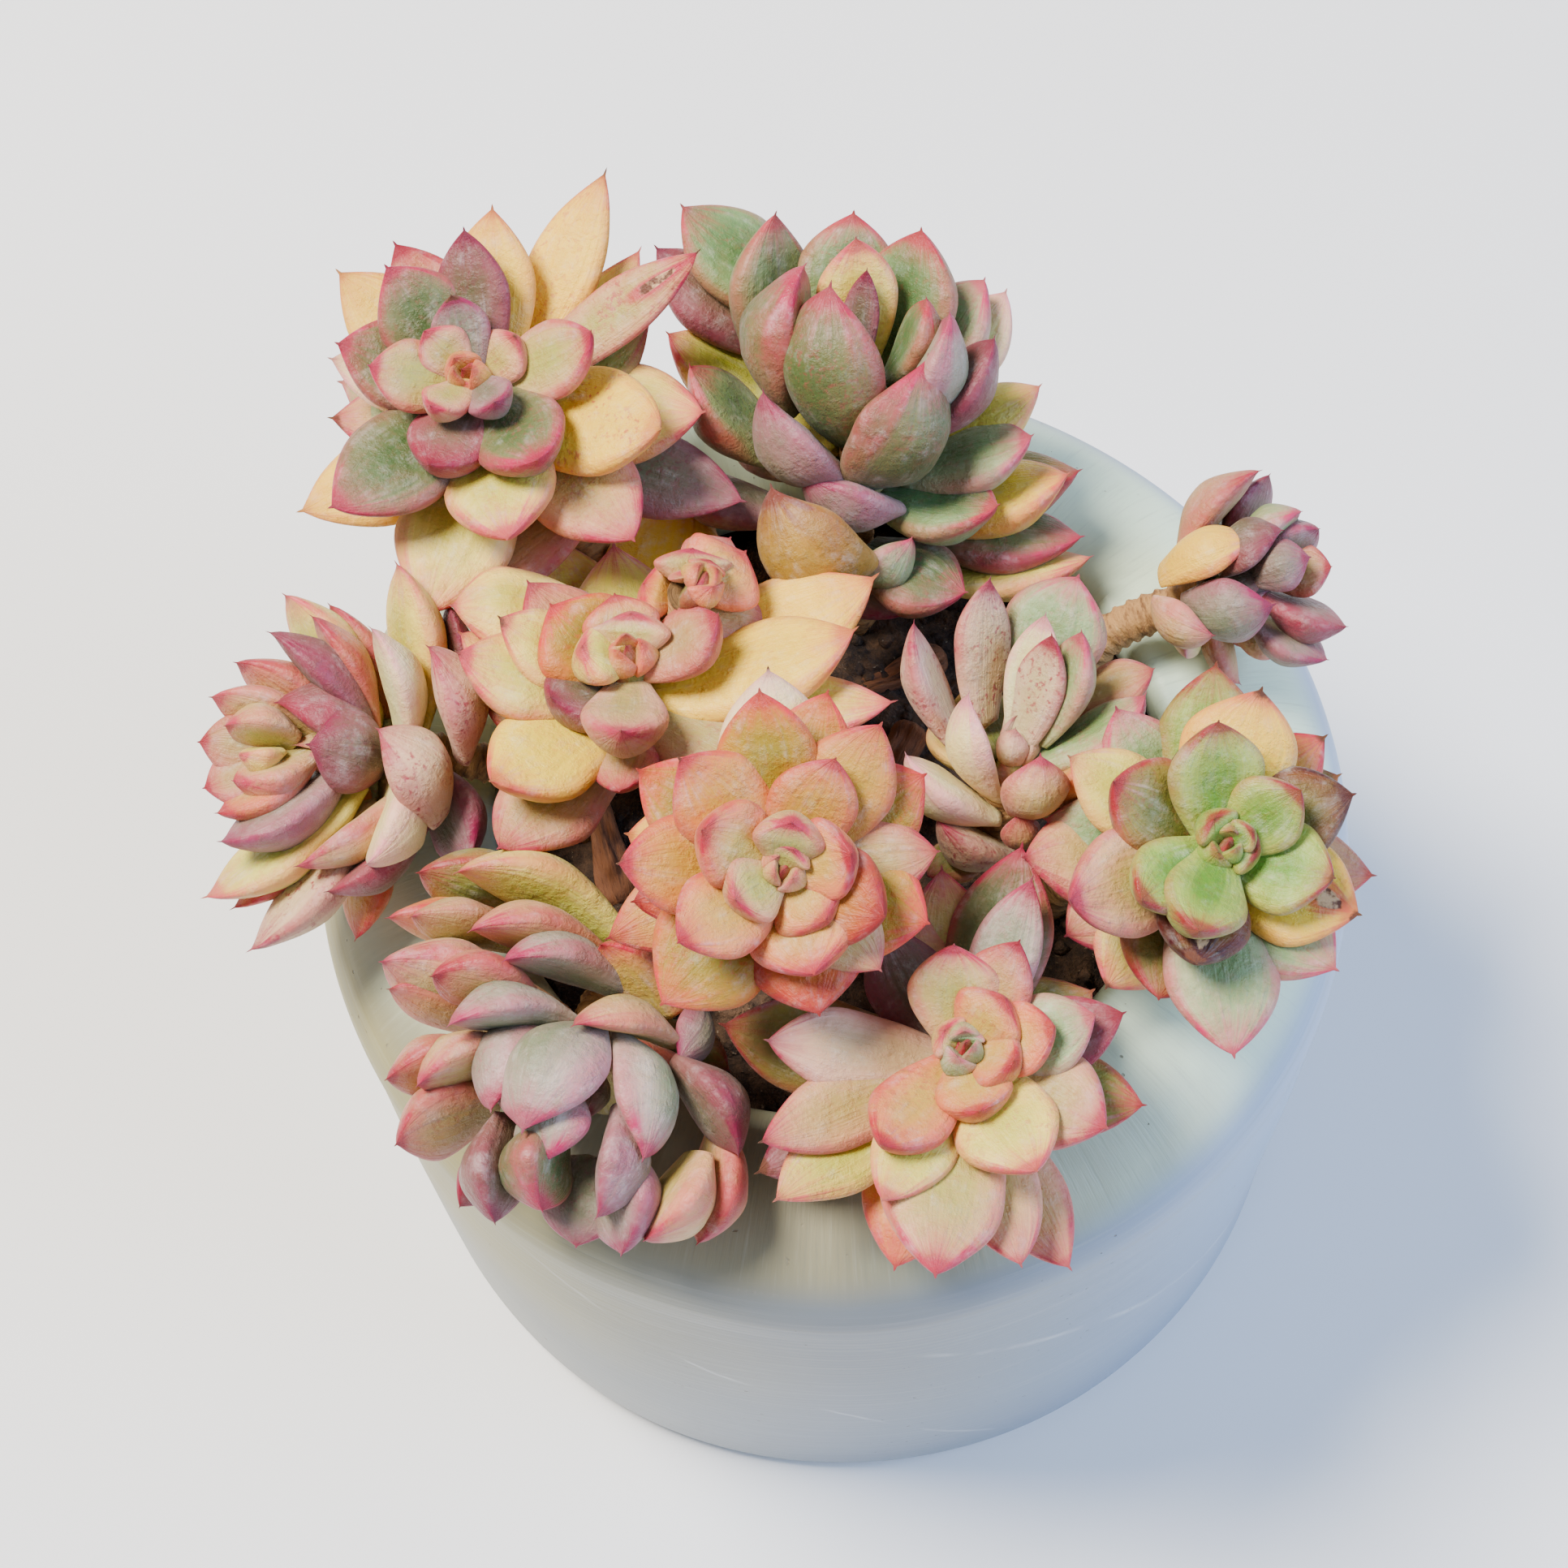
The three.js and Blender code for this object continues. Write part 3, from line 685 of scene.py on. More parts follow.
FRONT_LEFT_STRAYS: list[StrayRow] = [
    ((-0.5, 4.5, -2), (-2, -6.2, 3), 13.5, Tint.SAGE, 0.25),
    ((0, 7, -4), (-2, -0.4, 4), 11, Tint.FROST, 0.2),
    ((-6.5, 5.3, -4), (-8, -8, 1), 11.5, Tint.MAUVE, 0.15),
    ((7, 6.3, -3), (4.4, -7, 4), 11, Tint.LILAC, 0.2),
    ((2.5, 15.8, -7), (-4.4, 3.7, 6), 15, Tint.FROST, 0.2),
    ((-3, 15.8, -9), (-8.4, 5.9, 3), 11.5, Tint.FROST, 0.2),
    ((7, 14.8, -8), (10.2, 0, 4), 12, Tint.FROST, 0.2),
    ((6.5, 2, -4), (7.4, -12, 0), 13, Tint.LILAC, 0.15),
    ((-8, 6.3, -10), (-20.8, 1.3, -3), 11.5, Tint.ROSE, 0.15),
    ((-6, 12.3, -8), (-17.8, 8.8, 0), 10.5, Tint.BLUSH, 0.2),
    ((2, 15.3, -6), (-13.7, 16.4, 4), 10, Tint.FROST, 0.3),
    ((17, 0.3, -6), (10, -10.2, 0), 14, Tint.SHELL, 0.15),
    ((7.5, 19.8, -8), (-7, 24.3, 3), 10, Tint.FROST, 0.28),
    ((14, 13.3, -8), (1.3, 16.4, 3), 9, Tint.BLUSH, 0.28),
    ((-9, 11.3, -10), (-22, 9.4, -3), 10, Tint.ROSE, 0.15),
    ((-4, 18.3, -8), (-16, 22.4, 1), 10, Tint.ROSE, 0.2),
    ((13, 11.3, -7), (21.8, 0, -1), 11, Tint.MAUVE, 0.2),
    ((5, 23.3, -10), (-11.4, 27.8, 1), 10.5, Tint.BLUSH, 0.28),
    ((13, 16.3, -9), (4.6, 26.3, -1), 9.5, Tint.CORAL, 0.2),
    ((19, 3.3, -9), (16.5, -11.2, -4), 12, Tint.ROSE, 0.15),
    ((-5, 16.3, -12), (-22.7, 24.1, -3), 13.5, Tint.BLUSH, 0.15),
    ((17, 18.3, -12), (14, 11.4, -4), 7, Tint.LILAC, 0.15),
    ((-7, 1.3, -6), (-12.8, -6.4, -3), 7, Tint.MAGENTA, 0.12),
    ((7, 25.3, -14), (-13.6, 34.8, -3), 11, Tint.CREAM, 0.34),
    ((3, 0, -6), (1.6, -11.5, -4), 11, Tint.LILAC, 0.12),
    ((-8, 14.3, -14), (-22, 20.6, -5), 8, Tint.ROSE, 0.12),
    ((-6, 25.3, -14), (-19, 29.5, -4), 8.5, Tint.BLUSH, 0.15),
    ((-2, 29.3, -18), (-18.7, 34.9, -8), 12, Tint.OLIVE, 0.12),
    ((-4, 25.3, -18), (-22.7, 29.2, -9), 9, Tint.PEACH, 0.1),
]
MID_RIGHT_STRAYS: list[StrayRow] = [
    ((-0.5, -6, -4), (2.7, 10.6, 0), 7, Tint.IVORY, 0.15),
    ((-2, -8, -5), (3.2, 7.9, 3), 7.5, Tint.FRECKLE, 0.22),
    ((1.5, -6, -5), (7, 8.4, 2), 9, Tint.MINT, 0.2),
    ((0, -15, -2), (1.5, -7.2, 6), 8.5, Tint.BLUSH, 0.3),
    ((-3, -13, -6), (-7.2, 0.6, 3), 8.5, Tint.IVORY, 0.25),
    ((1, -8.5, -5), (15.4, 0.5, 0), 10, Tint.MINT, 0.25),
    ((1, -12.5, -6), (9.5, -6.5, 1), 10, Tint.PEACH, 0.25),
    ((-4.5, -4, -8), (-4.2, 15.3, -2), 8.5, Tint.FRECKLE, 0.15),
    ((-2.6, -15.5, -7), (-15.2, -7, 0), 10.5, Tint.IVORY, 0.2),
    ((-7.5, -7, -8), (-14, 9.7, -1), 8, Tint.FRECKLE, 0.15),
    ((0, -19, -6), (-0.8, -14.5, 1), 5, Tint.ROSE, 0.2),
    ((1, 0, -10), (7.4, 15.7, -6), 14, Tint.MINT, 0.12),
    ((-1, -20, -10), (-11, -15.3, -3), 10, Tint.FRECKLE, 0.2),
    ((6, -1, -10), (17.1, 3.7, -6), 8, Tint.ROSE, 0.12),
    ((-4, -18, -12), (-12, -23, -8), 8, Tint.OLIVE, 0.1),
]
FAR_RIGHT_STRAYS: list[StrayRow] = [
    ((-6, -1, 0), (1, 1.2, 4), 7, Tint.LILAC, 0.2),
    ((-4, 1, -4), (2.8, 5.2, 0), 7.5, Tint.LILAC, 0.15),
    ((-3, -1, -3), (4.4, 0.2, 0), 7.5, Tint.ROSE, 0.15),
    ((-7, 2, -3), (0.4, 7.4, 1), 8.5, Tint.MINT, 0.15),
    ((-10, 0, -2), (-2.5, 4.7, 4), 9, Tint.MAUVE, 0.25),
    ((-4, -3, -4), (6.5, -7.7, 0), 9, Tint.MAGENTA, 0.15),
    ((-14.5, -5, -4), (-3.5, -4.9, 4), 9.5, Tint.LILAC, 0.28),
    ((-8, 1, -9), (-3, 12.9, -5), 8, Tint.MAUVE, 0.12),
    ((-6, -5, -6), (4.3, -12, -2), 9, Tint.LILAC, 0.15),
    ((-18, -1, -3), (-6, 3.4, 4), 8, Tint.BUTTER, 0.25),
    ((-15, 1, -6), (-4.6, 13, -1), 9.5, Tint.ROSE, 0.2),
    ((-18.5, -4.5, -4), (-11, -8.9, 2), 7.5, Tint.BLUSH, 0.3),
    ((-12, -6, -8), (-14, -11.5, -6), 7, Tint.IVORY, 0.12),
]


@dataclass(frozen=True)
class LeafFinish:
    """Waxy succulent leaf skin, coloured by the attributes that each leaf carries.

    Attributes:
        roughness: roughness of the clean skin.
        glow: how much light goes through the flesh.
        pores_per_m: fineness of freckles and pores.
        bloom: colour of the powder.
        scar: colour of dry and torn skin.
        crust: colour of its lighter parts.
        point_from: share of the length where the dark point starts.
        margin, tip, wash, freckles, mottling, stains, powder: how strong each marking is, up to 1.
        relief_m: depth of the relief.
    """

    roughness: float = 0.5
    glow: float = 0.16
    pores_per_m: float = 1600.0
    bloom: RGB = (226, 222, 216)
    scar: RGB = (96, 52, 34)
    crust: RGB = (206, 164, 122)
    point_from: float = 0.9
    margin: float = 0.7
    tip: float = 0.8
    wash: float = 0.45
    freckles: float = 0.85
    mottling: float = 0.4
    stains: float = 0.4
    powder: float = 0.3
    relief_m: float = 0.0004

    def make(self, name: str) -> bpy.types.Material:
        """Builds the material.

        The middle of the face is greener, and the margin and the tip take the leaf's own pink, which
        streaks inward along the leaf. Over them come freckles, mottling, stains, a thin pale powder
        in soft patches, the dark point and, where the leaf's habit asks for them, a dry tip and an
        open scar.

        Args:
            name: the material's name.

        Returns:
            The material.
        """
        g = Graph(name)
        where = g.place()
        across, along, side = g.split(g.attribute("leaf_place", "Vector"))
        freckled, scarred, flushed = g.split(g.attribute("leaf_habit", "Vector"))
        face = g.attribute("tint_face")
        core = g.attribute("tint_core")
        edge = g.attribute("tint_edge")
        patches = g.noise(where, 85.0, 3.0)
        fine = g.noise(where, 700.0, 3.0)
        streaks = g.noise(g.scaled(g.attribute("leaf_grain", "Vector"), (7.0, 1.4, 1.0)), 1.0, 4.0, 0.6)
        reach = abs(across) + (streaks - 0.5) * 0.5
        middle = (1.0 - reach.step(0.1, 0.9)) * (1.0 - along.step(0.55, 1.0))
        colour = g.mix(middle * (0.6 + 0.8 * patches), face, core)
        beneath = side.step(0.15, -0.5)
        shade = g.mix(0.35, face, edge)
        colour = g.mix(beneath * patches.step(0.4, 0.75) * 0.5 * flushed, colour, shade)
        ragged = abs(across) + (streaks - 0.5) * 0.5 + (patches - 0.5) * 0.5
        margin = ragged.step(0.62, 1.04) * along.step(0.05, 0.6)
        tip = (along + (streaks - 0.5) * 0.35).step(0.7, 0.97)
        flush = (margin * self.margin + tip * self.tip) * flushed
        colour = g.mix(flush, colour, edge)
        wash = g.noise(where, 160.0, 4.0, 0.65).step(0.5, 0.78) * self.wash * flushed
        colour = g.mix(wash * (0.3 + along), colour, shade)
        dots = g.noise(where, 0.8 * self.pores_per_m, 3.0).step(0.52, 0.64)
        dots = dots * g.noise(where, 190.0, 3.0).step(0.4, 0.58) * freckled
        burnt = g.mix(0.2, edge, srgb(self.scar))
        colour = g.mix(dots * self.freckles, colour, burnt)
        mottle = g.noise(where, 420.0, 5.0, 0.7).step(0.42, 0.72)
        colour = g.mix(mottle * self.mottling, colour, g.mix(0.3, core, shade))
        stain = g.noise(where, 230.0, 6.0, 0.75).step(0.5, 0.66) * (1.0 - flush * 0.6)
        colour = g.mix(stain * self.stains, colour, core)
        pores = 1.0 - g.noise(where, 1100.0, 3.0).step(0.3, 0.55)
        colour = g.mix(pores * 0.14, colour, shade)
        powder = g.noise(where, 300.0, 5.0, 0.72).step(0.45, 0.75) * streaks.step(0.3, 0.7)
        colour = g.mix(powder * self.powder, colour, srgb(self.bloom))
        point = (along + (fine - 0.5) * 0.04).step(self.point_from, self.point_from + 0.06)
        colour = g.mix(point * 0.85 * flushed, colour, burnt)
        wound = ((along - 0.78) * 8.0) ** 2.0 + (across * 3.0 + (streaks - 0.5) * 1.8) ** 2.0
        wound = wound + (fine - 0.5) * 0.6
        open_wound = (scarred - 1.0) * side.step(0.0, 0.2)
        colour = g.mix((1.0 - wound.step(0.7, 2.2)) * open_wound * 0.8, colour, edge)
        crust = g.mix(fine.step(0.4, 0.6), srgb(self.scar), srgb(self.crust))
        colour = g.mix((1.0 - wound.step(0.35, 0.6)) * open_wound, colour, crust)
        dry = (along + (patches - 0.5) * 0.3 + (fine - 0.5) * 0.1).step(0.93, 0.97) * scarred
        colour = g.mix(dry, colour, srgb(self.scar))
        rough = self.roughness + (patches - 0.5) * 0.12 + powder * 0.08 + dry * 0.2
        relief = fine * 0.4 + g.noise(where, self.pores_per_m, 2.0) * 0.2 + streaks * 0.6 + mottle * 0.3
        constants = {
            "Subsurface Weight": self.glow,
            "Subsurface Radius": (1.0, 0.55, 0.35),
            "Subsurface Scale": 0.003,
            "Specular IOR Level": 0.42,
            "Sheen Weight": 0.06,
            "Sheen Roughness": 0.5,
        }
        return g.finish(colour, rough, relief, self.relief_m, constants)


@dataclass(frozen=True)
class StoneFinish:
    """Pale celadon stone, turned and brushed, with faint veins, an olive cast on the shoulder and painted
    light on the sides.

    Attributes:
        wall: colour of the wall's upper part.
        foot: colour near the foot.
        painted_sky_light: colour of the right side, painted bluish light from the sky.
        painted_warm_light: colour of the left side, painted yellowish light from the key lamp.
        shoulder: colour of the shoulder.
        olive: cast of its front.
        vein: colour of the veins.
        speck: colour of the pits.
        polished: colour of the palest brush marks.
        grimed: colour of the darkest ones.
        shoulder_m: heights between which the wall turns into the shoulder.
        seam_m: height of the faint line below it.
        relief_m: depth of the relief.
    """

    wall: RGB = (116, 123, 129)
    foot: RGB = (146, 158, 174)
    painted_sky_light: RGB = (152, 174, 200)
    painted_warm_light: RGB = (156, 146, 84)
    shoulder: RGB = (212, 232, 206)
    olive: RGB = (140, 136, 110)
    vein: RGB = (232, 236, 236)
    speck: RGB = (110, 96, 80)
    polished: RGB = (226, 230, 222)
    grimed: RGB = (110, 116, 110)
    shoulder_m: Pair = (0.0885, 0.0935)
    seam_m: float = 0.0842
    relief_m: float = 0.00022

    def make(self, name: str) -> bpy.types.Material:
        """Builds the material from height and direction round the pot in object coordinates.

        Args:
            name: the material's name.

        Returns:
            The material.
        """
        g = Graph(name)
        where = g.place()
        x, y, z = g.split(where)
        clouds = g.noise(where, 22.0, 4.0)
        brushed = g.noise(g.scaled(where, (18.0, 18.0, 900.0)), 1.0, 4.0, 0.6)
        radius = (x * x + y * y) ** 0.5
        spin = g.maths("ARCTAN2", y, x)
        around = g.add("ShaderNodeCombineXYZ", {}, {0: spin * 90.0, 1: radius * 90.0, 2: 0.0})
        rays = g.noise(around, 1.0, 4.0, 0.65)
        top = (z + (clouds - 0.5) * 0.002).step(*self.shoulder_m)
        # Painted light: the left side is tinted yellowish like the key lamp's light, the right side
        # bluish like the sky light.
        painted_light_side = x + (clouds - 0.5) * 0.03
        colour = g.mix(painted_light_side.step(-0.06, 0.0), srgb(self.painted_warm_light), srgb(self.wall))
        colour = g.mix(painted_light_side.step(0.0, 0.06), colour, srgb(self.painted_sky_light))
        colour = g.mix(clouds.step(0.3, 0.7) * 0.3, colour, srgb(self.wall))
        low = 1.0 - (z + (clouds - 0.5) * 0.02).step(0.01, 0.075)
        colour = g.mix(low * 0.6, colour, srgb(self.foot))
        front = (clouds - y * 6.0 - x * 4.5).step(0.35, 1.05)
        ledge = g.mix(front, srgb(self.shoulder), srgb(self.olive))
        colour = g.mix(top, colour, ledge)
        grain = g.mix(top, brushed, rays)
        colour = g.mix(grain.step(0.5, 0.8) * (0.2 - top * 0.1), colour, srgb(self.polished))
        colour = g.mix((1.0 - grain.step(0.25, 0.5)) * 0.2, colour, srgb(self.grimed))
        slant = x * 0.62 + z * 0.78 + y * 0.1 + (clouds - 0.5) * 0.012
        vein = 1.0 - abs(slant - 0.052).step(0.0, 0.0012)
        other = 1.0 - abs(slant - 0.016 + x * 0.25).step(0.0, 0.0008)
        seam = 1.0 - abs(z - self.seam_m).step(0.0, 0.0007)
        colour = g.mix(seam * 0.3 * clouds, colour, srgb(self.olive))
        fade = g.noise(where, 60.0, 3.0).step(0.4, 0.65) * (1.0 - z.step(0.066, 0.084))
        colour = g.mix((vein + other) * fade * 0.35, colour, srgb(self.vein))
        pits = g.noise(where, 900.0, 1.0).step(0.74, 0.79) * g.noise(where, 70.0, 2.0).step(0.5, 0.62)
        colour = g.mix(pits * 0.7, colour, srgb(self.speck))
        rough = 0.42 + (grain - 0.5) * 0.3 + (clouds - 0.5) * 0.1
        height = grain * 0.5 + clouds * 0.3 - pits * 0.8
        constants = {
            "Subsurface Weight": 0.08,
            "Subsurface Radius": (1.0, 1.0, 0.9),
            "Subsurface Scale": 0.004,
            "Specular IOR Level": 0.4,
        }
        return g.finish(colour, rough, height, self.relief_m, constants)


@dataclass(frozen=True)
class SoilFinish:
    """Dark crumbly potting soil with a few pale mineral grains."""

    dark: RGB = (40, 28, 22)
    light: RGB = (96, 70, 50)
    grit: RGB = (170, 152, 128)

    def make(self, name: str) -> bpy.types.Material:
        """Builds the material: two scales of clods and rare bright grains.

        Args:
            name: the material's name.

        Returns:
            The material.
        """
        g = Graph(name)
        where = g.place()
        clods = g.noise(where, 260.0, 5.0, 0.7)
        fine = g.noise(where, 1300.0, 3.0)
        colour = g.mix(clods.step(0.35, 0.7), srgb(self.dark), srgb(self.light))
        colour = g.mix(fine.step(0.66, 0.72) * 0.5, colour, srgb(self.grit))
        return g.finish(colour, 0.85 + (fine - 0.5) * 0.2, clods + fine * 0.4, 0.0015)


@dataclass(frozen=True)
class BarkFinish:
    """Fibrous bark: reddish brown with dark and pale threads along it."""

    base: RGB = (134, 84, 52)
    dark: RGB = (62, 34, 22)
    pale: RGB = (196, 150, 106)
    grain: Triple = (160.0, 900.0, 900.0)

    def make(self, name: str) -> bpy.types.Material:
        """Builds the material from threads stretched along the piece's own grain attribute.

        Args:
            name: the material's name.

        Returns:
            The material.
        """
        g = Graph(name)
        threads = g.noise(g.scaled(g.attribute("grain", "Vector"), self.grain), 1.0, 5.0, 0.65)
        patches = g.noise(g.place(), 180.0, 3.0)
        colour = g.mix(threads.step(0.3, 0.55), srgb(self.dark), srgb(self.base))
        colour = g.mix(threads.step(0.58, 0.8) * patches.step(0.35, 0.7), colour, srgb(self.pale))
        return g.finish(colour, 0.75 + (patches - 0.5) * 0.2, threads, 0.0009)


@dataclass(frozen=True)
class FloorFinish:
    """Plain pale matte floor."""

    tone: RGB = (244, 244, 244)
    shade: RGB = (238, 238, 239)

    def make(self, name: str) -> bpy.types.Material:
        """Builds the material, almost even.

        Args:
            name: the material's name.

        Returns:
            The material.
        """
        g = Graph(name)
        clouds = g.noise(g.place(), 3.0, 2.0)
        return g.finish(g.mix(clouds, srgb(self.tone), srgb(self.shade)), 0.9 + (clouds - 0.5) * 0.02)


# ---- leaves ----


@dataclass
class Leaf:
    """One fleshy boat-shaped leaf, in metres.

    Attributes:
        foot: where it grows from.
        tip: its point.
        face: the direction its upper face looks, made square to the leaf.
        width: greatest width.
        tint: colouring.
        bulge: how far its middle bows to the back, as a share of the length.
        cup: how far the margins rise above the middle, as a share of half the width.
        keel: depth of the underside, as a share of half the width.
        seed: seed of its own unevenness.
        habit: strengths of freckles, of the dry tip and of the pink margin.
        bend: sideways sweep of the tip, as a share of the length.
        roll: turn of the tip about the leaf, in degrees.
        rows: rings along it, without its two ends.
        columns: points round each ring.
        depths: richness of its face, core and margin colours.
        edge_tilt: red, green and blue shares of its margin colour.
    """

    foot: Array
    tip: Array
    face: Array
    width: float
    tint: Tint
    bulge: float
    cup: float
    keel: float
    seed: int
    habit: Triple = (0.0, 0.0, 1.0)
    bend: float = 0.0
    roll: float = 0.0
    rows: int = 26
    columns: int = 28
    depths: Triple = (1.85, 1.9, 1.55)
    edge_tilt: Triple = (1.0, 0.6, 1.2)

    def half_width(self, t: Array) -> Array:
        """Half the width at each share t of the length, with a thin point past the blade.

        It opens from a narrow foot as a quarter sine up to nearly three fifths of the blade, then
        falls as (1 - x^1.9)^0.92; the point is added as the root of the sum of squares.

        Args:
            t: shares of the length.

        Returns:
            Half the width at each, in metres.
        """
        blade = np.clip(t / 0.968, 0.0, 1.0)
        rise = 0.38 + 0.62 * np.sin(np.pi / 2 * np.clip(blade / 0.58, 0.0, 1.0))
        fall = np.maximum(1.0 - np.clip((blade - 0.58) / 0.42, 0.0, 1.0) ** 1.9, 0.0) ** 0.92
        point = 0.26 * np.maximum(1.0 - t, 0.0) ** 0.6
        return self.width / 2 * np.hypot(rise * fall, point)

    def middle_line(self, t: Array) -> tuple[Array, Array]:
        """The midline at each share t of the length, and the side direction.

        The straight line from foot to tip, bowed to the back as t(1 - t)^0.8, swept sideways as
        t(1 - t), its last tenth hooked towards the face.

        Args:
            t: shares of the length.

        Returns:
            The points of the midline and the side direction.
        """
        straight = self.tip - self.foot
        length = np.linalg.norm(straight)
        along = straight / length
        face = unit(self.face - (self.face @ along) * along)
        side = np.cross(along, face)
        bow = self.bulge * length * (1.4 * t * (1.0 - t) ** 0.8)
        hook = 0.012 * length * smooth(0.9, 1.0, t)
        sweep = self.bend * length * t * (1.0 - t)
        line = self.foot + t[:, None] * straight + (hook - bow)[:, None] * face
        return line + sweep[:, None] * side, side

    def tones(self) -> list[Array]:
        """Face, core and margin colours, the face drawn towards the core by a seeded share.

        Returns:
            Three linear colours.
        """
        rng = np.random.default_rng(self.seed)
        face, core, edge = (
            np.array(srgb(colour, depth)) for colour, depth in zip(self.tint.value, self.depths)
        )
        share = rng.uniform(0.0, 0.35)
        tilt = np.append(rng.uniform(0.93, 1.07, 3), 1.0)
        edge = edge * np.array([*self.edge_tilt, 1.0])
        return [((1.0 - share) * face + share * core) * tilt, core * tilt, edge]

    def add_to(self, surface: Surface) -> None:
        """Adds the leaf to a surface.

        Each row of the grid is a lens round the midline: across it runs the cosine of the column's
        angle times the half width; above, the face is cupped by the square of that cosine and
        puffed by a share of the sine; below, the back is a mix of an ellipse and a keel.

        Args:
            surface: where it is added.
        """
        k = np.linspace(0.0, 1.0, self.rows + 2)
        t = 1.0 - (1.0 - k) ** 1.3
        line, side = self.middle_line(t)
        across, face = ring_frames(line, side)
        turn = np.radians(self.roll) * t[:, None]
        across, face = (
            across * np.cos(turn) + face * np.sin(turn),
            face * np.cos(turn) - across * np.sin(turn),
        )
        half = self.half_width(t)[:, None]
        angle = round_angles(self.columns)
        s, up = np.cos(angle), np.sin(angle)
        depth = smooth(-0.35, 0.45, t)[:, None] * (1.0 - smooth(0.55, 1.0, t) * 0.35)[:, None]
        back = -self.keel * depth * (0.62 * np.abs(up) + 0.38 * (1.0 - np.abs(s) ** 1.5))
        front = 0.42 * np.abs(up)
        fold = self.cup * (s * s - 0.35) * smooth(0.0, 0.5, t)[:, None]
        lift = np.where(up > 0, front, back) + fold
        spot = line[:, None, :] + (half * s)[..., None] * across[:, None, :]
        spot = spot + (half * lift)[..., None] * face[:, None, :]
        rough = ripple(spot, 0.006, self.seed)[..., None] * 0.012 * half[..., None]
        wave = ripple(spot, 0.014, self.seed + 7)[..., None] * 0.035 * half[..., None]
        spot = spot + (rough + wave) * face[:, None, :] + wave * across[:, None, :]
        rings, start, end = spot[1:-1], line[0], line[-1]
        count = self.rows * self.columns + 2
        place = np.zeros((count, 3))
        place[:-2, 0] = np.broadcast_to(s, (self.rows, self.columns)).ravel()
        place[:-2, 1] = np.repeat(t[1:-1], self.columns)
        place[:-2, 2] = np.broadcast_to(up, (self.rows, self.columns)).ravel()
        place[-1, 1] = 1.0
        grain = place.copy()
        grain[:, 2] = place[:, 2] * 0.3 + (self.seed % 997) * 1.37
        tones = [np.tile(tone, (count, 1)) for tone in self.tones()]
        attributes = {
            "leaf_place": place,
            "leaf_grain": grain,
            "leaf_habit": np.tile(np.array(self.habit), (count, 1)),
            "tint_face": tones[0],
            "tint_core": tones[1],
            "tint_edge": tones[2],
        }
        surface.tube(rings, start, end, attributes)


class Tier(Enum):
    """The three sets of leaves of a rosette, with the share of the leaves where each one ends."""

    HEART = ("heart", 0.22, "leaf_heart")
    INNER = ("inner_leaves", 0.55, "leaf_inner")
    OUTER = ("outer_leaves", 1.0, "leaf_outer")


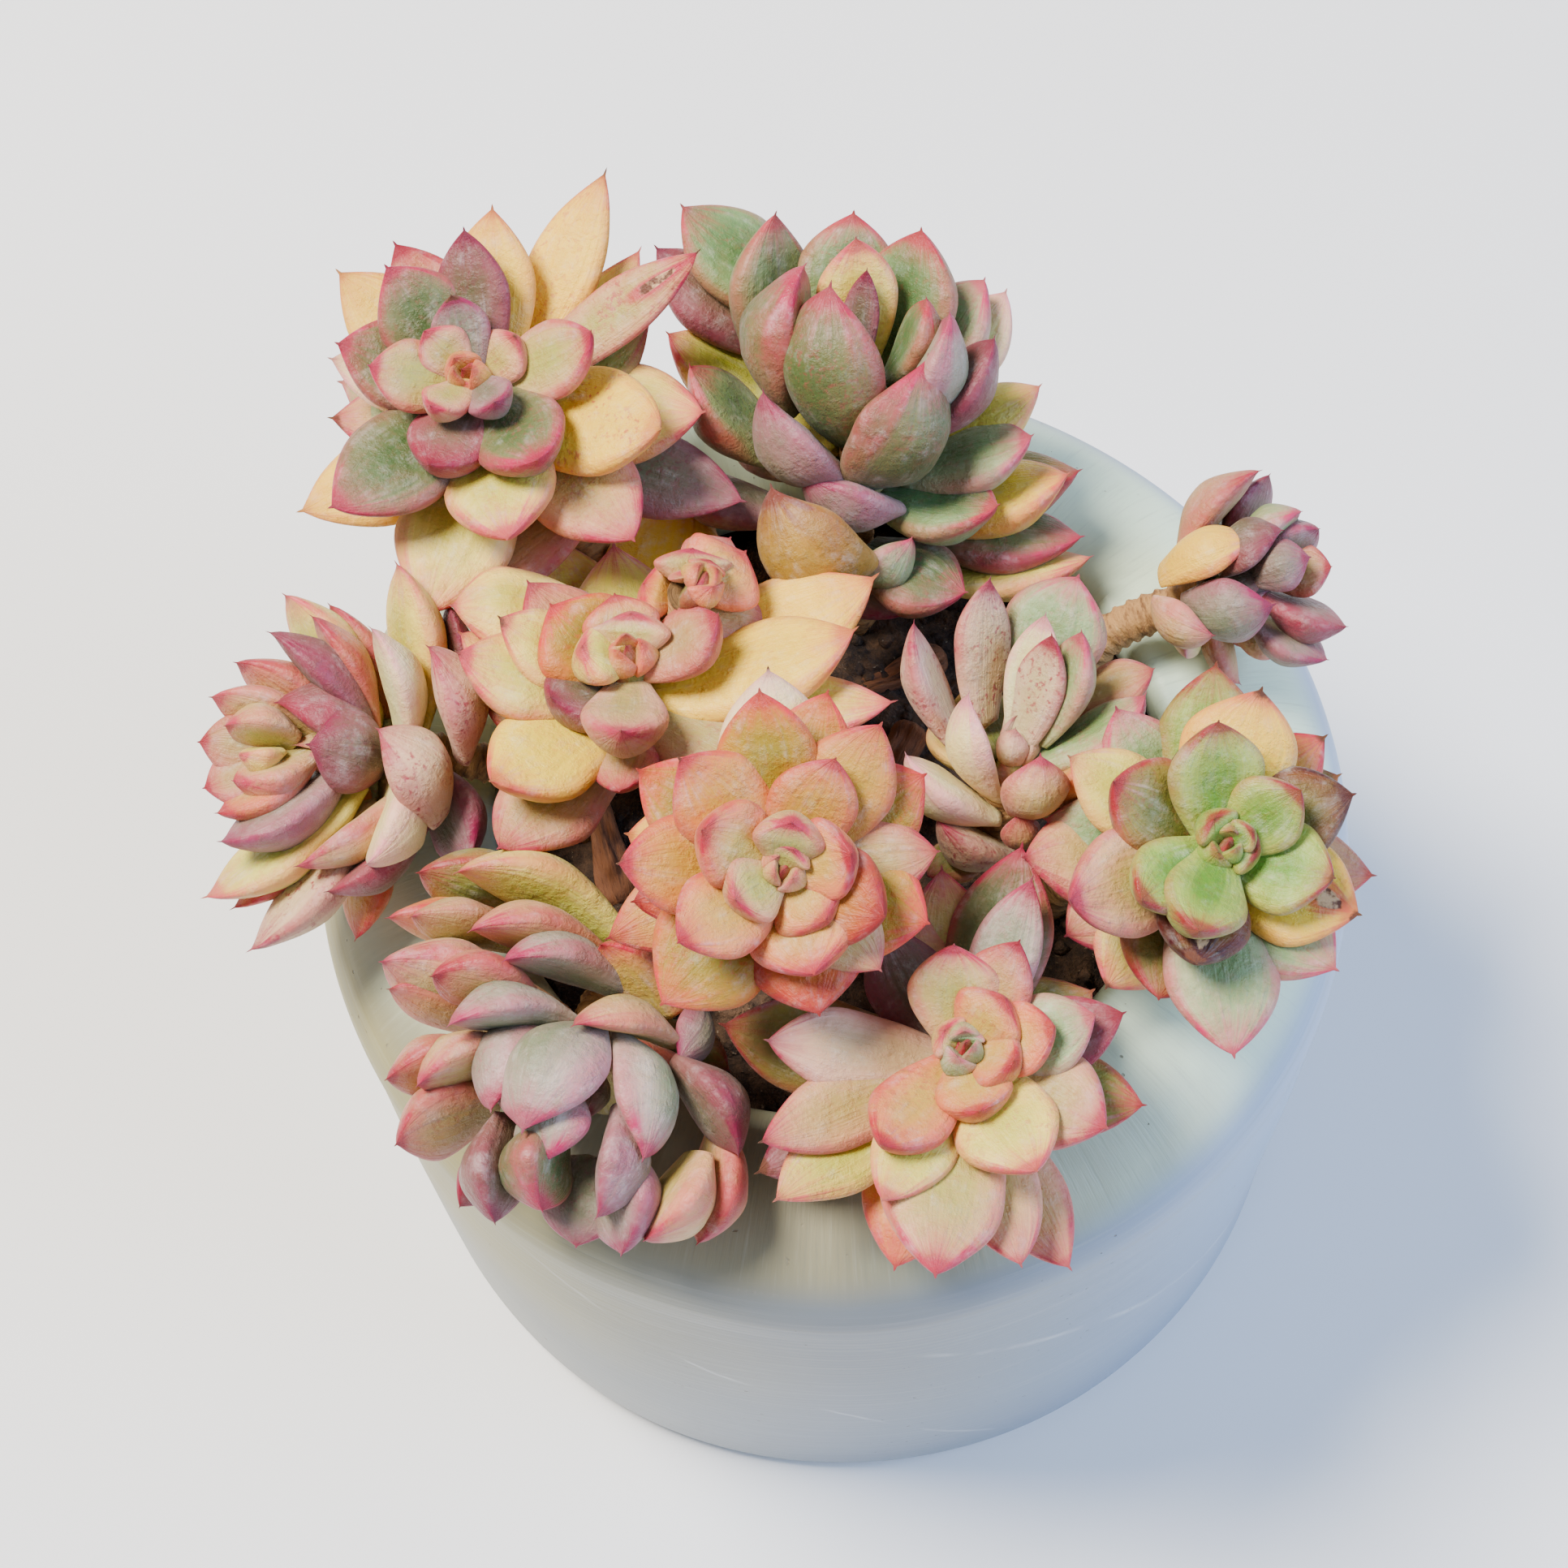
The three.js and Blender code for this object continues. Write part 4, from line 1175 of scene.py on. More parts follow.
@dataclass
class Rosette:
    """A head of leaves on a short stem, sizes in millimetres.

    Attributes:
        name: its name in the assembly.
        heart: the middle of its youngest leaves.
        lean: how far its axis leans from upright, in degrees.
        bearing: where it leans to, in degrees from +X towards +Y.
        radius: reach of its oldest leaves.
        depth: how far its oldest leaves sit below the heart.
        seed: seed of everything uneven about it.
        root: where its stem leaves the soil.
        leaves: its leaf rows, youngest first.
        under: how many short leaves may fill its underside.
        stretch: length of its core as a share of the depth.
        spread_mm: how far from the axis the oldest leaves have their feet.
        core_width: greatest width of the core.
        opened: how far the youngest and the oldest leaves open from the axis, in degrees.
        slide: how far a tip may be slid along the line of sight, at most.
        crowded: cosine of the angle within which a short leaf finds no room beside another.
        dry_share: share of its leaves with a dry tip.
        strays: leaves with feet of their own.
        notes: habits of single leaves, by row.
    """

    name: str
    heart: Triple
    lean: float
    bearing: float
    radius: float
    depth: float
    seed: int
    root: Pair
    leaves: list[LeafRow] = field(default_factory=list)
    under: int = 14
    stretch: float = 1.5
    spread_mm: float = 1.8
    core_width: float = 6.4
    opened: Pair = (30.0, 87.0)
    slide: float = 26.0
    crowded: float = 0.93
    dry_share: float = 0.07
    strays: list[StrayRow] = field(default_factory=list)
    notes: dict[int, Triple] = field(default_factory=dict)

    @property
    def axis(self) -> Array:
        """Unit vector out of the rosette's heart."""
        lean, bearing = math.radians(self.lean), math.radians(self.bearing)
        flat = math.sin(lean)
        return np.array([flat * math.cos(bearing), flat * math.sin(bearing), math.cos(lean)])

    def grown(self, tip: Array, age: float) -> tuple[Array, Array]:
        """Foot and face of a leaf whose tip is known.

        The foot sits on the rosette's short core, lower for older leaves and never so low that
        the leaf stands steeper than it should; the face is the axis made square to the leaf.

        Args:
            tip: the tip from the heart, in millimetres.
            age: 0 for the youngest leaf, 1 for the oldest.

        Returns:
            The foot from the heart, in millimetres, and the face direction.
        """
        axis = self.axis
        height = float(tip @ axis)
        out = tip - height * axis
        reach = float(np.linalg.norm(out))
        drop = self.depth * self.stretch * (0.08 + 0.92 * age)
        if not self.seen_from_above:
            drop = min(drop, max(0.75 * reach - height, 0.35 * self.depth * age + 1.0))
        spread = self.spread_mm * (0.3 + 0.9 * age)
        foot = -drop * axis + out / max(reach, 1e-6) * min(spread, 0.4 * reach)
        along = unit(tip - foot)
        face = axis - (axis @ along) * along
        return foot, unit(face + 0.02 * axis)

    @property
    def seen_from_above(self) -> bool:
        """True where the viewer looks into the rosette rather than at its side."""
        return float(self.axis @ VIEW_BACK) > SHOWS_HEART

    def layered(self, tip: Array, age: float) -> Array:
        """Slides a tip along the line of sight until its leaf opens as far as its age asks.

        Young leaves stand close to the axis and old ones lie nearly square to it, so every leaf
        lies under the younger ones; the angle from the axis is a power of the age.

        Args:
            tip: the tip from the heart, in millimetres.
            age: 0 for the youngest leaf, 1 for the oldest.

        Returns:
            The moved tip.
        """
        young, old = self.opened
        target = young + (old - young) * age**0.55
        low, high = -self.slide, self.slide
        for _ in range(24):
            middle = (low + high) / 2
            moved = tip + middle * VIEW_BACK
            way = unit(moved - self.grown(moved, age)[0])
            opened = math.degrees(math.acos(float(np.clip(way @ self.axis, -1.0, 1.0))))
            low, high = (middle, high) if opened > target else (low, middle)
        return tip + (low + high) / 2 * VIEW_BACK

    def leaf(self, foot: Array, tip: Array, width: float, number: int, **traits: object) -> Leaf:
        """Makes one of the rosette's leaves.

        Args:
            foot: its foot from the heart, in millimetres.
            tip: its tip from the heart, in millimetres.
            width: its greatest width, in millimetres.
            number: its number within the rosette, which settles its seed.
            traits: the other attributes of Leaf.

        Returns:
            The leaf, in metres.
        """
        heart = np.array(self.heart)
        return Leaf(
            foot=(heart + foot) * MM,
            tip=(heart + tip) * MM,
            width=width * MM,
            seed=self.seed * 100 + number,
            **traits,
        )

    def table_leaves(self) -> list[tuple[Leaf, float]]:
        """The leaves of the rows with their ages.

        Returns:
            Leaves, each with its age.
        """
        rng = np.random.default_rng(self.seed)
        made = []
        for i, (right, up, towards, width, tint, bulge) in enumerate(self.leaves):
            age = (i + 0.5) / len(self.leaves)
            tip = right * VIEW_RIGHT + up * VIEW_UP + towards * VIEW_BACK
            if self.seen_from_above:
                tip = self.layered(tip, age)
            foot, face = self.grown(tip, age)
            dry = 1.0 if rng.random() < self.dry_share else 0.0
            habit = (rng.uniform(0.0, 0.45), dry, rng.uniform(0.75, 1.1))
            if tint in PALE_TINTS:
                habit = (rng.uniform(0.0, 0.3), dry, rng.uniform(0.5, 0.8))
            leaf = self.leaf(
                foot,
                tip,
                width,
                i,
                face=face,
                tint=tint,
                bulge=bulge + 0.04,
                cup=0.26 - 0.24 * age,
                keel=0.62 + 0.14 * rng.random(),
                habit=self.notes.get(i, HABITS.get(tint, habit)),
                bend=rng.uniform(-0.08, 0.08),
                roll=rng.uniform(-12.0, 12.0),
            )
            made.append((leaf, age))
        return made

    def under_leaves(self) -> list[tuple[Leaf, float]]:
        """Short leaves beneath the others, at golden-angle steps, where the rows leave room.

        Returns:
            Leaves, each with its age.
        """
        rng = np.random.default_rng(self.seed + 50)
        axis = self.axis
        first, second = across_axis(axis, (0.31, 0.9, 0.2))
        rows = self.table_leaves() + self.stray_leaves()
        known = [unit(leaf.tip - leaf.foot) for leaf, age in rows if age > 0.35]
        made = []
        for i in range(self.under):
            turn = math.radians(GOLDEN_ANGLE * i + self.seed)
            tilt = math.radians(78.0 + 22.0 * (i / max(self.under - 1, 1)))
            out = first * math.cos(turn) + second * math.sin(turn)
            way = axis * math.cos(tilt) + out * math.sin(tilt)
            taken = max(float(way @ other) for other in known) > self.crowded
            if taken or (not self.seen_from_above and float(way @ VIEW_BACK) > -0.25):
                continue
            foot = -axis * self.depth * (0.75 + 0.3 * i / self.under) + out * 2.0
            tip = foot + way * self.radius * rng.uniform(0.62, 0.76)
            leaf = self.leaf(
                foot,
                tip,
                self.radius * rng.uniform(0.38, 0.46),
                UNDER_NUMBER + i,
                face=unit(axis - (axis @ way) * way),
                tint=UNDER_TINTS[i % len(UNDER_TINTS)],
                bulge=0.14,
                cup=0.12,
                keel=0.55,
                habit=(rng.uniform(0.0, 0.5), 0.0, rng.uniform(0.5, 0.9)),
                bend=rng.uniform(-0.06, 0.06),
                roll=rng.uniform(-10.0, 10.0),
            )
            made.append((leaf, 1.0))
        return made

    def core_leaf(self) -> Leaf:
        """The green core that the leaves sit on: a stubby pointed leaf along the axis.

        Returns:
            The leaf.
        """
        rise = 0.5 if self.seen_from_above else -0.5 * self.depth
        return self.leaf(
            -self.axis * (self.depth + 1.0),
            self.axis * rise,
            self.core_width,
            CORE_NUMBER,
            face=np.cross(self.axis, (0.3, 0.5, -0.2)),
            tint=Tint.OLIVE,
            bulge=0.0,
            cup=0.0,
            keel=0.9,
        )

    def bud(self) -> list[tuple[Leaf, float]]:
        """Three tiny upright leaves that close the heart.

        Returns:
            Leaves, each with its age.
        """
        axis = self.axis
        sunk = 0.0 if self.seen_from_above else 0.35 * self.depth
        first, second = across_axis(axis, (0.4, -0.2, 0.7))
        tint = self.leaves[0][4] if self.leaves else self.strays[1][3]
        made = []
        for i in range(3):
            turn = math.radians(GOLDEN_ANGLE * i + 40.0 * self.seed)
            out = first * math.cos(turn) + second * math.sin(turn)
            foot = out * 0.3 - axis * (sunk + 0.35 * self.depth + 1.0)
            tip = out * (0.9 + 0.5 * i) + axis * (1.6 - 0.6 * i - sunk)
            leaf = self.leaf(
                foot,
                tip,
                3.4 + 0.9 * i,
                BUD_NUMBER + i,
                face=-out,
                tint=tint,
                bulge=0.16,
                cup=0.3,
                keel=0.8,
                habit=(0.3, 0.0, 0.5),
            )
            made.append((leaf, 0.01))
        return made

    def stray_leaves(self) -> list[tuple[Leaf, float]]:
        """Leaves with feet of their own. Where a rosette has only a few, they are old ones.

        Returns:
            Leaves, each with its age.
        """
        rng = np.random.default_rng(self.seed + 80)
        made = []
        for i, (foot, tip, width, tint, bulge) in enumerate(self.strays):
            age = (i + 0.5) / len(self.strays) if len(self.strays) > 5 else 0.9
            start, end = np.array(foot) @ VIEW, np.array(tip) @ VIEW
            way = unit(end - start)
            middle = (start + end) / 2
            out = unit(middle - (middle @ self.axis) * self.axis)
            lean = float(way @ self.axis)
            inward = math.sqrt(max(1.0 - lean * lean, 0.0)) * self.axis - lean * out
            keel = rng.uniform(0.62, 0.76) * (BALL_KEEL if tint is Tint.HONEY else 1.0)
            freckled = 1.0 if tint is Tint.FRECKLE else rng.uniform(0.0, 0.4)
            leaf = self.leaf(
                start,
                end,
                width,
                STRAY_NUMBER + i,
                face=unit(inward - (inward @ way) * way),
                tint=tint,
                bulge=bulge,
                cup=0.2 - 0.15 * age,
                keel=keel,
                habit=(freckled, 0.0, rng.uniform(0.75, 1.1)),
                bend=rng.uniform(-0.06, 0.06),
                roll=rng.uniform(-10.0, 10.0),
            )
            made.append((leaf, age))
        return made

    def build(self, finishes: dict[Tier, bpy.types.Material]) -> None:
        """Builds the heart, the inner leaves and the outer leaves as three pieces.

        Args:
            finishes: the material of each set of leaves.
        """
        everything = self.table_leaves() + self.under_leaves() + self.bud() + self.stray_leaves()
        low = 0.0
        for tier in Tier:
            label, high, slot = tier.value
            surface = Surface()
            chosen = [leaf for leaf, age in everything if low < age <= high]
            if tier is Tier.OUTER:
                chosen.append(self.core_leaf())
            for leaf in chosen:
                leaf.add_to(surface)
            piece = surface.build(f"visual_{self.name}_{label}")
            dress(piece, finishes[tier], slot, f"{self.name}_{label}")
            LOG.info("%s: %d leaves", piece.name, len(chosen))
            low = high


def dress(
    piece: bpy.types.Object,
    finish: bpy.types.Material,
    slot: str,
    *nodes: str,
) -> None:
    """Gives a piece its finish and ties it to the frame.

    Args:
        piece: the visual piece.
        finish: its material.
        slot: name of a material slot; not used.
        nodes: the CAD nodes it stands for.
    """
    piece.data.materials.append(finish)
    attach(piece, "root")
    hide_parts(*nodes)


# ---- stems, pot, soil, bark ----


@dataclass
class Stem:
    """A ringed brown stem from the soil to the underside of a rosette, sizes in millimetres.

    Attributes:
        rosette: the rosette that it carries.
        radius: its thickness, halved.
        rows: rings along it, without its two ends.
        columns: points round each ring.
        root_depth: how far it reaches into the soil.
        rise: how far it heads straight up out of the soil.
        run: how far it heads along the rosette's axis before it ends.
        gap: how far below the rosette's underside its bare part ends.
        overlap: how far past that it reaches in among the leaves.
        scar_spacing: from one leaf scar to the next.
    """

    rosette: Rosette
    radius: float = 2.6
    rows: int = 90
    columns: int = 20
    root_depth: float = 8.0
    rise: float = 18.0
    run: float = 13.0
    gap: float = 1.2
    overlap: float = 2.5
    scar_spacing: float = 1.9

    def path(self) -> Array:
        """A cubic curve that leaves the soil upright and meets the rosette along its axis.

        Returns:
            Points from the soil to the rosette, in millimetres.
        """
        heart, axis = np.array(self.rosette.heart), self.rosette.axis
        root, depth = self.rosette.root, self.rosette.depth
        a = np.array([*root, SOIL_LEVEL_MM - self.root_depth])
        b = np.array([*root, SOIL_LEVEL_MM + self.rise])
        c = heart - axis * (depth + self.run)
        d = heart - axis * (depth + self.gap - self.overlap)
        t = np.linspace(0.0, 1.0, self.rows + 2)[:, None]
        return (1 - t) ** 3 * a + 3 * t * (1 - t) ** 2 * b + 3 * t * t * (1 - t) * c + t**3 * d

    def build(self, finish: bpy.types.Material) -> None:
        """Builds the stem.

        Rings round the curve whose radius swells and pinches along a slow spiral of leaf scars,
        as the cosine of the length over the spacing plus the column's angle.

        Args:
            finish: its material.
        """
        path = self.path()
        steps = np.linalg.norm(np.diff(path, axis=0), axis=1)
        length = np.concatenate([[0.0], np.cumsum(steps)])
        across, face = ring_frames(path, np.array([0.2, 0.9, -0.3]))
        angle = round_angles(self.columns)
        phase = length[:, None] / self.scar_spacing * FULL_TURN + angle
        swell = 1.0 + 0.075 * np.cos(phase) + 0.03 * np.cos(2.0 * phase + 1.0)
        uneven = 1.0 + 0.05 * ripple(path * MM, 0.01, self.rosette.seed)[:, None]
        radius = self.radius * 1.05 * swell * uneven
        ring = np.cos(angle)[..., None] * across[:, None] + np.sin(angle)[..., None] * face[:, None]
        rings = (path[:, None] + radius[..., None] * ring) * MM
        grain = np.zeros((self.rows * self.columns + 2, 3))
        grain[:-2, 0] = np.repeat(length[1:-1], self.columns) * MM
        grain[:-2, 1] = np.tile(np.cos(angle[0]) * self.radius * MM, self.rows)
        grain[:-2, 2] = np.tile(np.sin(angle[0]) * self.radius * MM, self.rows)
        surface = Surface()
        surface.tube(rings[1:-1], path[0] * MM, path[-1] * MM, {"grain": grain})
        name = f"stem_{self.rosette.name}"
        piece = surface.build(f"visual_{name}")
        dress(piece, finish, "stem_bark", name)
        LOG.info("%s: %d rings", piece.name, self.rows)


def corner(centre: Pair, radii: Pair, turn: Pair, steps: int) -> list[Pair]:
    """Points of an elliptical corner.

    Args:
        centre: its middle, as radius and height.
        radii: its two half axes.
        turn: first and last angle in degrees, from outward to up.
        steps: how many spans.

    Returns:
        Points as radius and height.
    """
    angles = np.radians(np.linspace(turn[0], turn[1], steps + 1))
    return [(centre[0] + radii[0] * math.cos(a), centre[1] + radii[1] * math.sin(a)) for a in angles]


@dataclass
class Pot:
    """The turned stone pot, sizes in millimetres.

    Attributes:
        radius: outer radius under the shoulder.
        height: height of the rim.
        foot_radius: outer radius at the foot.
        foot_rounding: radius of the foot's edge.
        shoulder: height of the rounded shoulder.
        opening: radius of the opening.
        lip: rounding of the opening's edge.
        wall: thickness of the wall.
        floor: thickness of the floor.
        columns: points round the pot.
    """

    radius: float
    height: float
    foot_radius: float = 67.5
    foot_rounding: float = 4.0
    shoulder: float = 14.5
    opening: float = 45.0
    lip: float = 2.5
    wall: float = 7.0
    floor: float = 9.0
    columns: int = 256

    def profile(self) -> Array:
        """The outline from under the foot, up the wall, over the shoulder and down inside.

        Returns:
            Rows of radius and height.
        """
        foot, rim = self.foot_rounding, self.opening + self.lip
        level = self.height - self.shoulder
        run = self.radius - rim
        points = [(r, 0.0) for r in (12.0, 30.0, 50.0)]
        points += corner((self.foot_radius - foot, foot), (foot, foot), (-90.0, 0.0), 8)
        widening = self.radius - self.foot_radius
        points += [
            (self.foot_radius + widening * k, foot + (level - foot) * k)
            for k in np.linspace(0.04, 0.96, 24)
        ]
        points += corner((rim, level), (run, self.shoulder), (0.0, 90.0), 34)
        points += corner((rim, self.height - self.lip), (self.lip, self.lip), (97.0, 180.0), 8)
        inside = self.foot_radius - self.wall
        points += [
            (self.opening, self.height - self.wall),
            (self.radius - self.wall, level - self.wall),
            (inside, self.floor + foot),
            (inside - foot, self.floor),
            (20.0, self.floor),
        ]
        return np.array(points)

    def build(self, finish: bpy.types.Material) -> None:
        """Builds the pot: its profile turned round the upright axis, with slight hand unevenness.

        Args:
            finish: its material.
        """
        profile = self.profile()
        angle = round_angles(self.columns)
        spot = turned(profile[:, :1], profile[:, 1:], angle)
        wobble = 0.25 * ripple(spot * MM, 0.05, 3) * smooth(0.0, 8.0, profile[:, 1:])
        spot[..., :2] += wobble[..., None] * np.stack([np.cos(angle), np.sin(angle)], -1)[0]
        surface = Surface()
        surface.tube(spot[:, ::-1] * MM, np.zeros(3), self.floor * MM * UP, {})
        piece = surface.build("visual_pot")
        dress(piece, finish, "pot_stone", "pot")
        LOG.info("%s: %d columns", piece.name, self.columns)


@dataclass
class Soil:
    """The soil in the pot, mounded in the middle and crumbly on top, sizes in millimetres.

    Attributes:
        level: height of the surface halfway out.
        mound: how far the middle stands above it.
        edge_drop: how far the edge lies below it.
        mouth: radius of the surface.
        bottom: height of the underside.
        inner: widest radius inside the pot.
        belly: heights between which it is that wide.
        rows: rings of the surface.
        columns: points round each ring.
        crumbs: how many loose crumbs lie on it.
    """

    level: float = SOIL_LEVEL_MM
    mound: float = 4.0
    edge_drop: float = 2.0
    mouth: float = 44.6
    bottom: float = 9.4
    inner: float = 59.0
    belly: Pair = (14.0, 74.0)
    rows: int = 90
    columns: int = 200
    crumbs: int = 260

    def top(self, r: Array) -> Array:
        """Height of the smooth mound at a radius."""
        share = np.clip(r / self.mouth, 0.0, 1.0) ** 2
        return self.level + self.mound - (self.mound + self.edge_drop) * share

    def build(self, finish: bpy.types.Material) -> None:
        """Builds the soil: a turned body whose top is roughened at two scales, with loose crumbs.

        Args:
            finish: its material.
        """
        under = [20.0, 50.0, self.inner, self.inner]
        r = np.concatenate([under, np.linspace(self.mouth, 0.5, self.rows)])
        z = np.concatenate([[self.bottom, self.bottom, *self.belly], self.top(r[len(under):])])
        angle = round_angles(self.columns)
        spot = turned(r[:, None], z[:, None], angle)
        on_top = (np.arange(len(r)) > len(under))[:, None] * 1.0
        rough = ripple(spot * MM, 0.006, 21, 24) * 0.7 + np.abs(ripple(spot * MM, 0.0024, 22, 24)) * 0.5
        spot[..., 2] += on_top * rough
        surface = Surface()
        surface.tube(spot[:, ::-1] * MM, self.bottom * MM * UP, (self.level + self.mound) * MM * UP, {})
        self.scatter(surface)
        piece = surface.build("visual_soil")
        dress(piece, finish, "potting_soil", "soil")
        LOG.info("%s: %d crumbs", piece.name, self.crumbs)

    def scatter(self, surface: Surface) -> None:
        """Adds loose crumbs: small lumps of few faces at seeded places on the mound.

        Args:
            surface: where they are added.
        """
        rng = np.random.default_rng(77)
        for _ in range(self.crumbs):
            r = self.mouth * 0.95 * math.sqrt(rng.random())
            turn = rng.uniform(0.0, FULL_TURN)
            size = rng.uniform(0.5, 1.4)
            height = float(self.top(np.array(r))) + size * 0.3
            centre = np.array([r * math.cos(turn), r * math.sin(turn), height])
            angle = round_angles(7)
            polar = np.radians([35.0, 80.0, 125.0, 155.0])[:, None]
            lump = turned(np.sin(polar), -np.cos(polar), angle)
            lump = lump * rng.uniform(0.7, 1.2, (4, 7, 1)) * size + centre
            low, high = centre - size * UP, centre + size * 0.9 * UP
            surface.tube(lump[:, ::-1] * MM, low * MM, high * MM, {})


@dataclass
class BarkChip:
    """A flat chip of bark that lies on the soil, sizes in millimetres and degrees.

    Attributes:
        index: its number.
        x, y: its middle.
        turn: direction of its grain.
        tilt: how far one end is raised.
        length, width, thickness: its size.
        lift: height of its middle above the soil.
        rows: rings along it, without its two ends.
        columns: points round each ring.
    """

    index: int
    x: float
    y: float
    turn: float
    tilt: float
    length: float
    width: float
    lift: float
    thickness: float = 2.6
    rows: int = 40
    columns: int = 36

    def build(self, finish: bpy.types.Material) -> None:
        """Builds the chip.

        Rings along the grain: half width is a rounded box with ragged ends, and thickness and
        edges are roughened by seeded ridges that run along the grain.

        Args:
            finish: its material.
        """
        t = np.linspace(0.0, 1.0, self.rows + 2)
        turn, tilt = math.radians(self.turn), math.radians(self.tilt)
        level = np.array([math.cos(turn), math.sin(turn), 0.0])
        along = level * math.cos(tilt) + UP * math.sin(tilt)
        side = np.array([math.sin(turn), -math.cos(turn), 0.0])
        face = np.cross(side, along)
        centre = np.array([self.x, self.y, SOIL_LEVEL_MM + self.lift])
        angle = round_angles(self.columns)
        c, s = np.cos(angle), np.sin(angle)
        square = np.maximum(np.abs(c) ** 4 + np.abs(s) ** 4, 1e-9) ** -0.25
        ends = (1.0 - np.abs(2.0 * t - 1.0) ** 5)[:, None] ** 0.5
        half = self.width / 2 * (0.8 + 0.2 * np.sin(t * 5.0 + self.index))[:, None] * ends
        ridges = np.stack(np.broadcast_arrays(t[:, None] * 0.002, c * 0.004, s * 0.004), -1)
        ridge = ripple(ridges, 0.0016, 40 + self.index, 18)
        across = half * c * square * (1.0 + 0.06 * ridge)
        up = self.thickness / 2 * s * square * ends * (1.0 + 0.3 * ridge)
        line = centre + (t - 0.5)[:, None] * self.length * along
        spot = line[:, None] + across[..., None] * side + up[..., None] * face
        spot = spot + (0.35 * ripple(spot * MM, 0.004, 60 + self.index))[..., None] * face
        grain = np.zeros((self.rows * self.columns + 2, 3))
        grain[:-2, 0] = np.repeat(t[1:-1], self.columns) * self.length * MM
        grain[:-2, 1] = across[1:-1].ravel() * MM
        grain[:-2, 2] = up[1:-1].ravel() * MM
        surface = Surface()
        surface.tube(spot[1:-1] * MM, line[0] * MM, line[-1] * MM, {"grain": grain})
        piece = surface.build(f"visual_bark_chip_{self.index}")
        dress(piece, finish, "bark", f"bark_chip_{self.index}")
        LOG.info("%s built", piece.name)


# ---- scene ----


@dataclass
class Studio:
    """Floor, light and camera.

    Attributes:
        floor_half_m: half the floor's side.
        aim_m: height of the point that the lamps look at.
        world_tone: colour of the light from all round.
        world_strength: its strength.
        lamps: name, place in metres, size in metres, watts and colour of each lamp.
    """

    floor_half_m: float = 3.0
    aim_m: float = 0.1
    world_tone: RGB = (236, 242, 255)
    world_strength: float = 0.42
    lamps: tuple[tuple[str, Triple, float, float, RGB], ...] = (
        ("key", (-0.5, 0.15, 1.2), 0.45, 40.0, (255, 247, 234)),
        ("sky", (0.9, -0.3, 0.7), 0.9, 17.0, (176, 208, 255)),
    )

    def floor(self) -> None:
        """A wide plain floor under the pot."""
        h = self.floor_half_m
        mesh = bpy.data.meshes.new("floor")
        mesh.from_pydata([(-h, -h, 0.0), (h, -h, 0.0), (h, h, 0.0), (-h, h, 0.0)], [], [(0, 1, 2, 3)])
        plane = link("floor", mesh)
        mesh.materials.append(FloorFinish().make("floor_pale"))

    def world(self) -> None:
        """Even soft light from all round."""
        world = bpy.data.worlds.new("soft_room")
        world.use_nodes = True
        background = world.node_tree.nodes["Background"]
        background.inputs["Color"].default_value = srgb(self.world_tone)
        background.inputs["Strength"].default_value = self.world_strength
        bpy.context.scene.world = world

    def lamp(self, name: str, place: Triple, size: float, power: float, tone: RGB) -> None:
        """A round area light that looks at the plant.

        Args:
            name: its name.
            place: where it stands, in metres.
            size: its width, in metres.
            power: its power, in watts.
            tone: its colour.
        """
        data = bpy.data.lights.new(name, "AREA")
        data.shape = "DISK"
        data.size = size
        data.energy = power
        data.color = srgb(tone)[:3]
        back = unit(np.array(place) - self.aim_m * UP)
        side = unit(np.cross([0.0, 1.0, 0.1], back))
        up = np.cross(back, side)
        link(name, data).matrix_world = placed(np.stack([side, up, back], 1), place)

    def camera(self) -> None:
        """The camera, looking down at the pot from the front."""
        data = bpy.data.cameras.new("camera")
        data.lens = CAMERA_LENS_MM
        data.sensor_width = SENSOR_MM
        data.dof.use_dof = False
        data.clip_start = 0.01
        camera = link("camera", data)
        place = (np.array(CAMERA_TARGET_MM) + VIEW_BACK * CAMERA_DISTANCE_MM) * MM
        camera.matrix_world = placed(VIEW.T, place)
        bpy.context.scene.camera = camera

    def build(self) -> None:
        """Everything round the object."""
        self.floor()
        self.world()
        for lamp in self.lamps:
            self.lamp(*lamp)
        self.camera()
        LOG.info("studio: floor, world, %d lamps, camera", len(self.lamps))


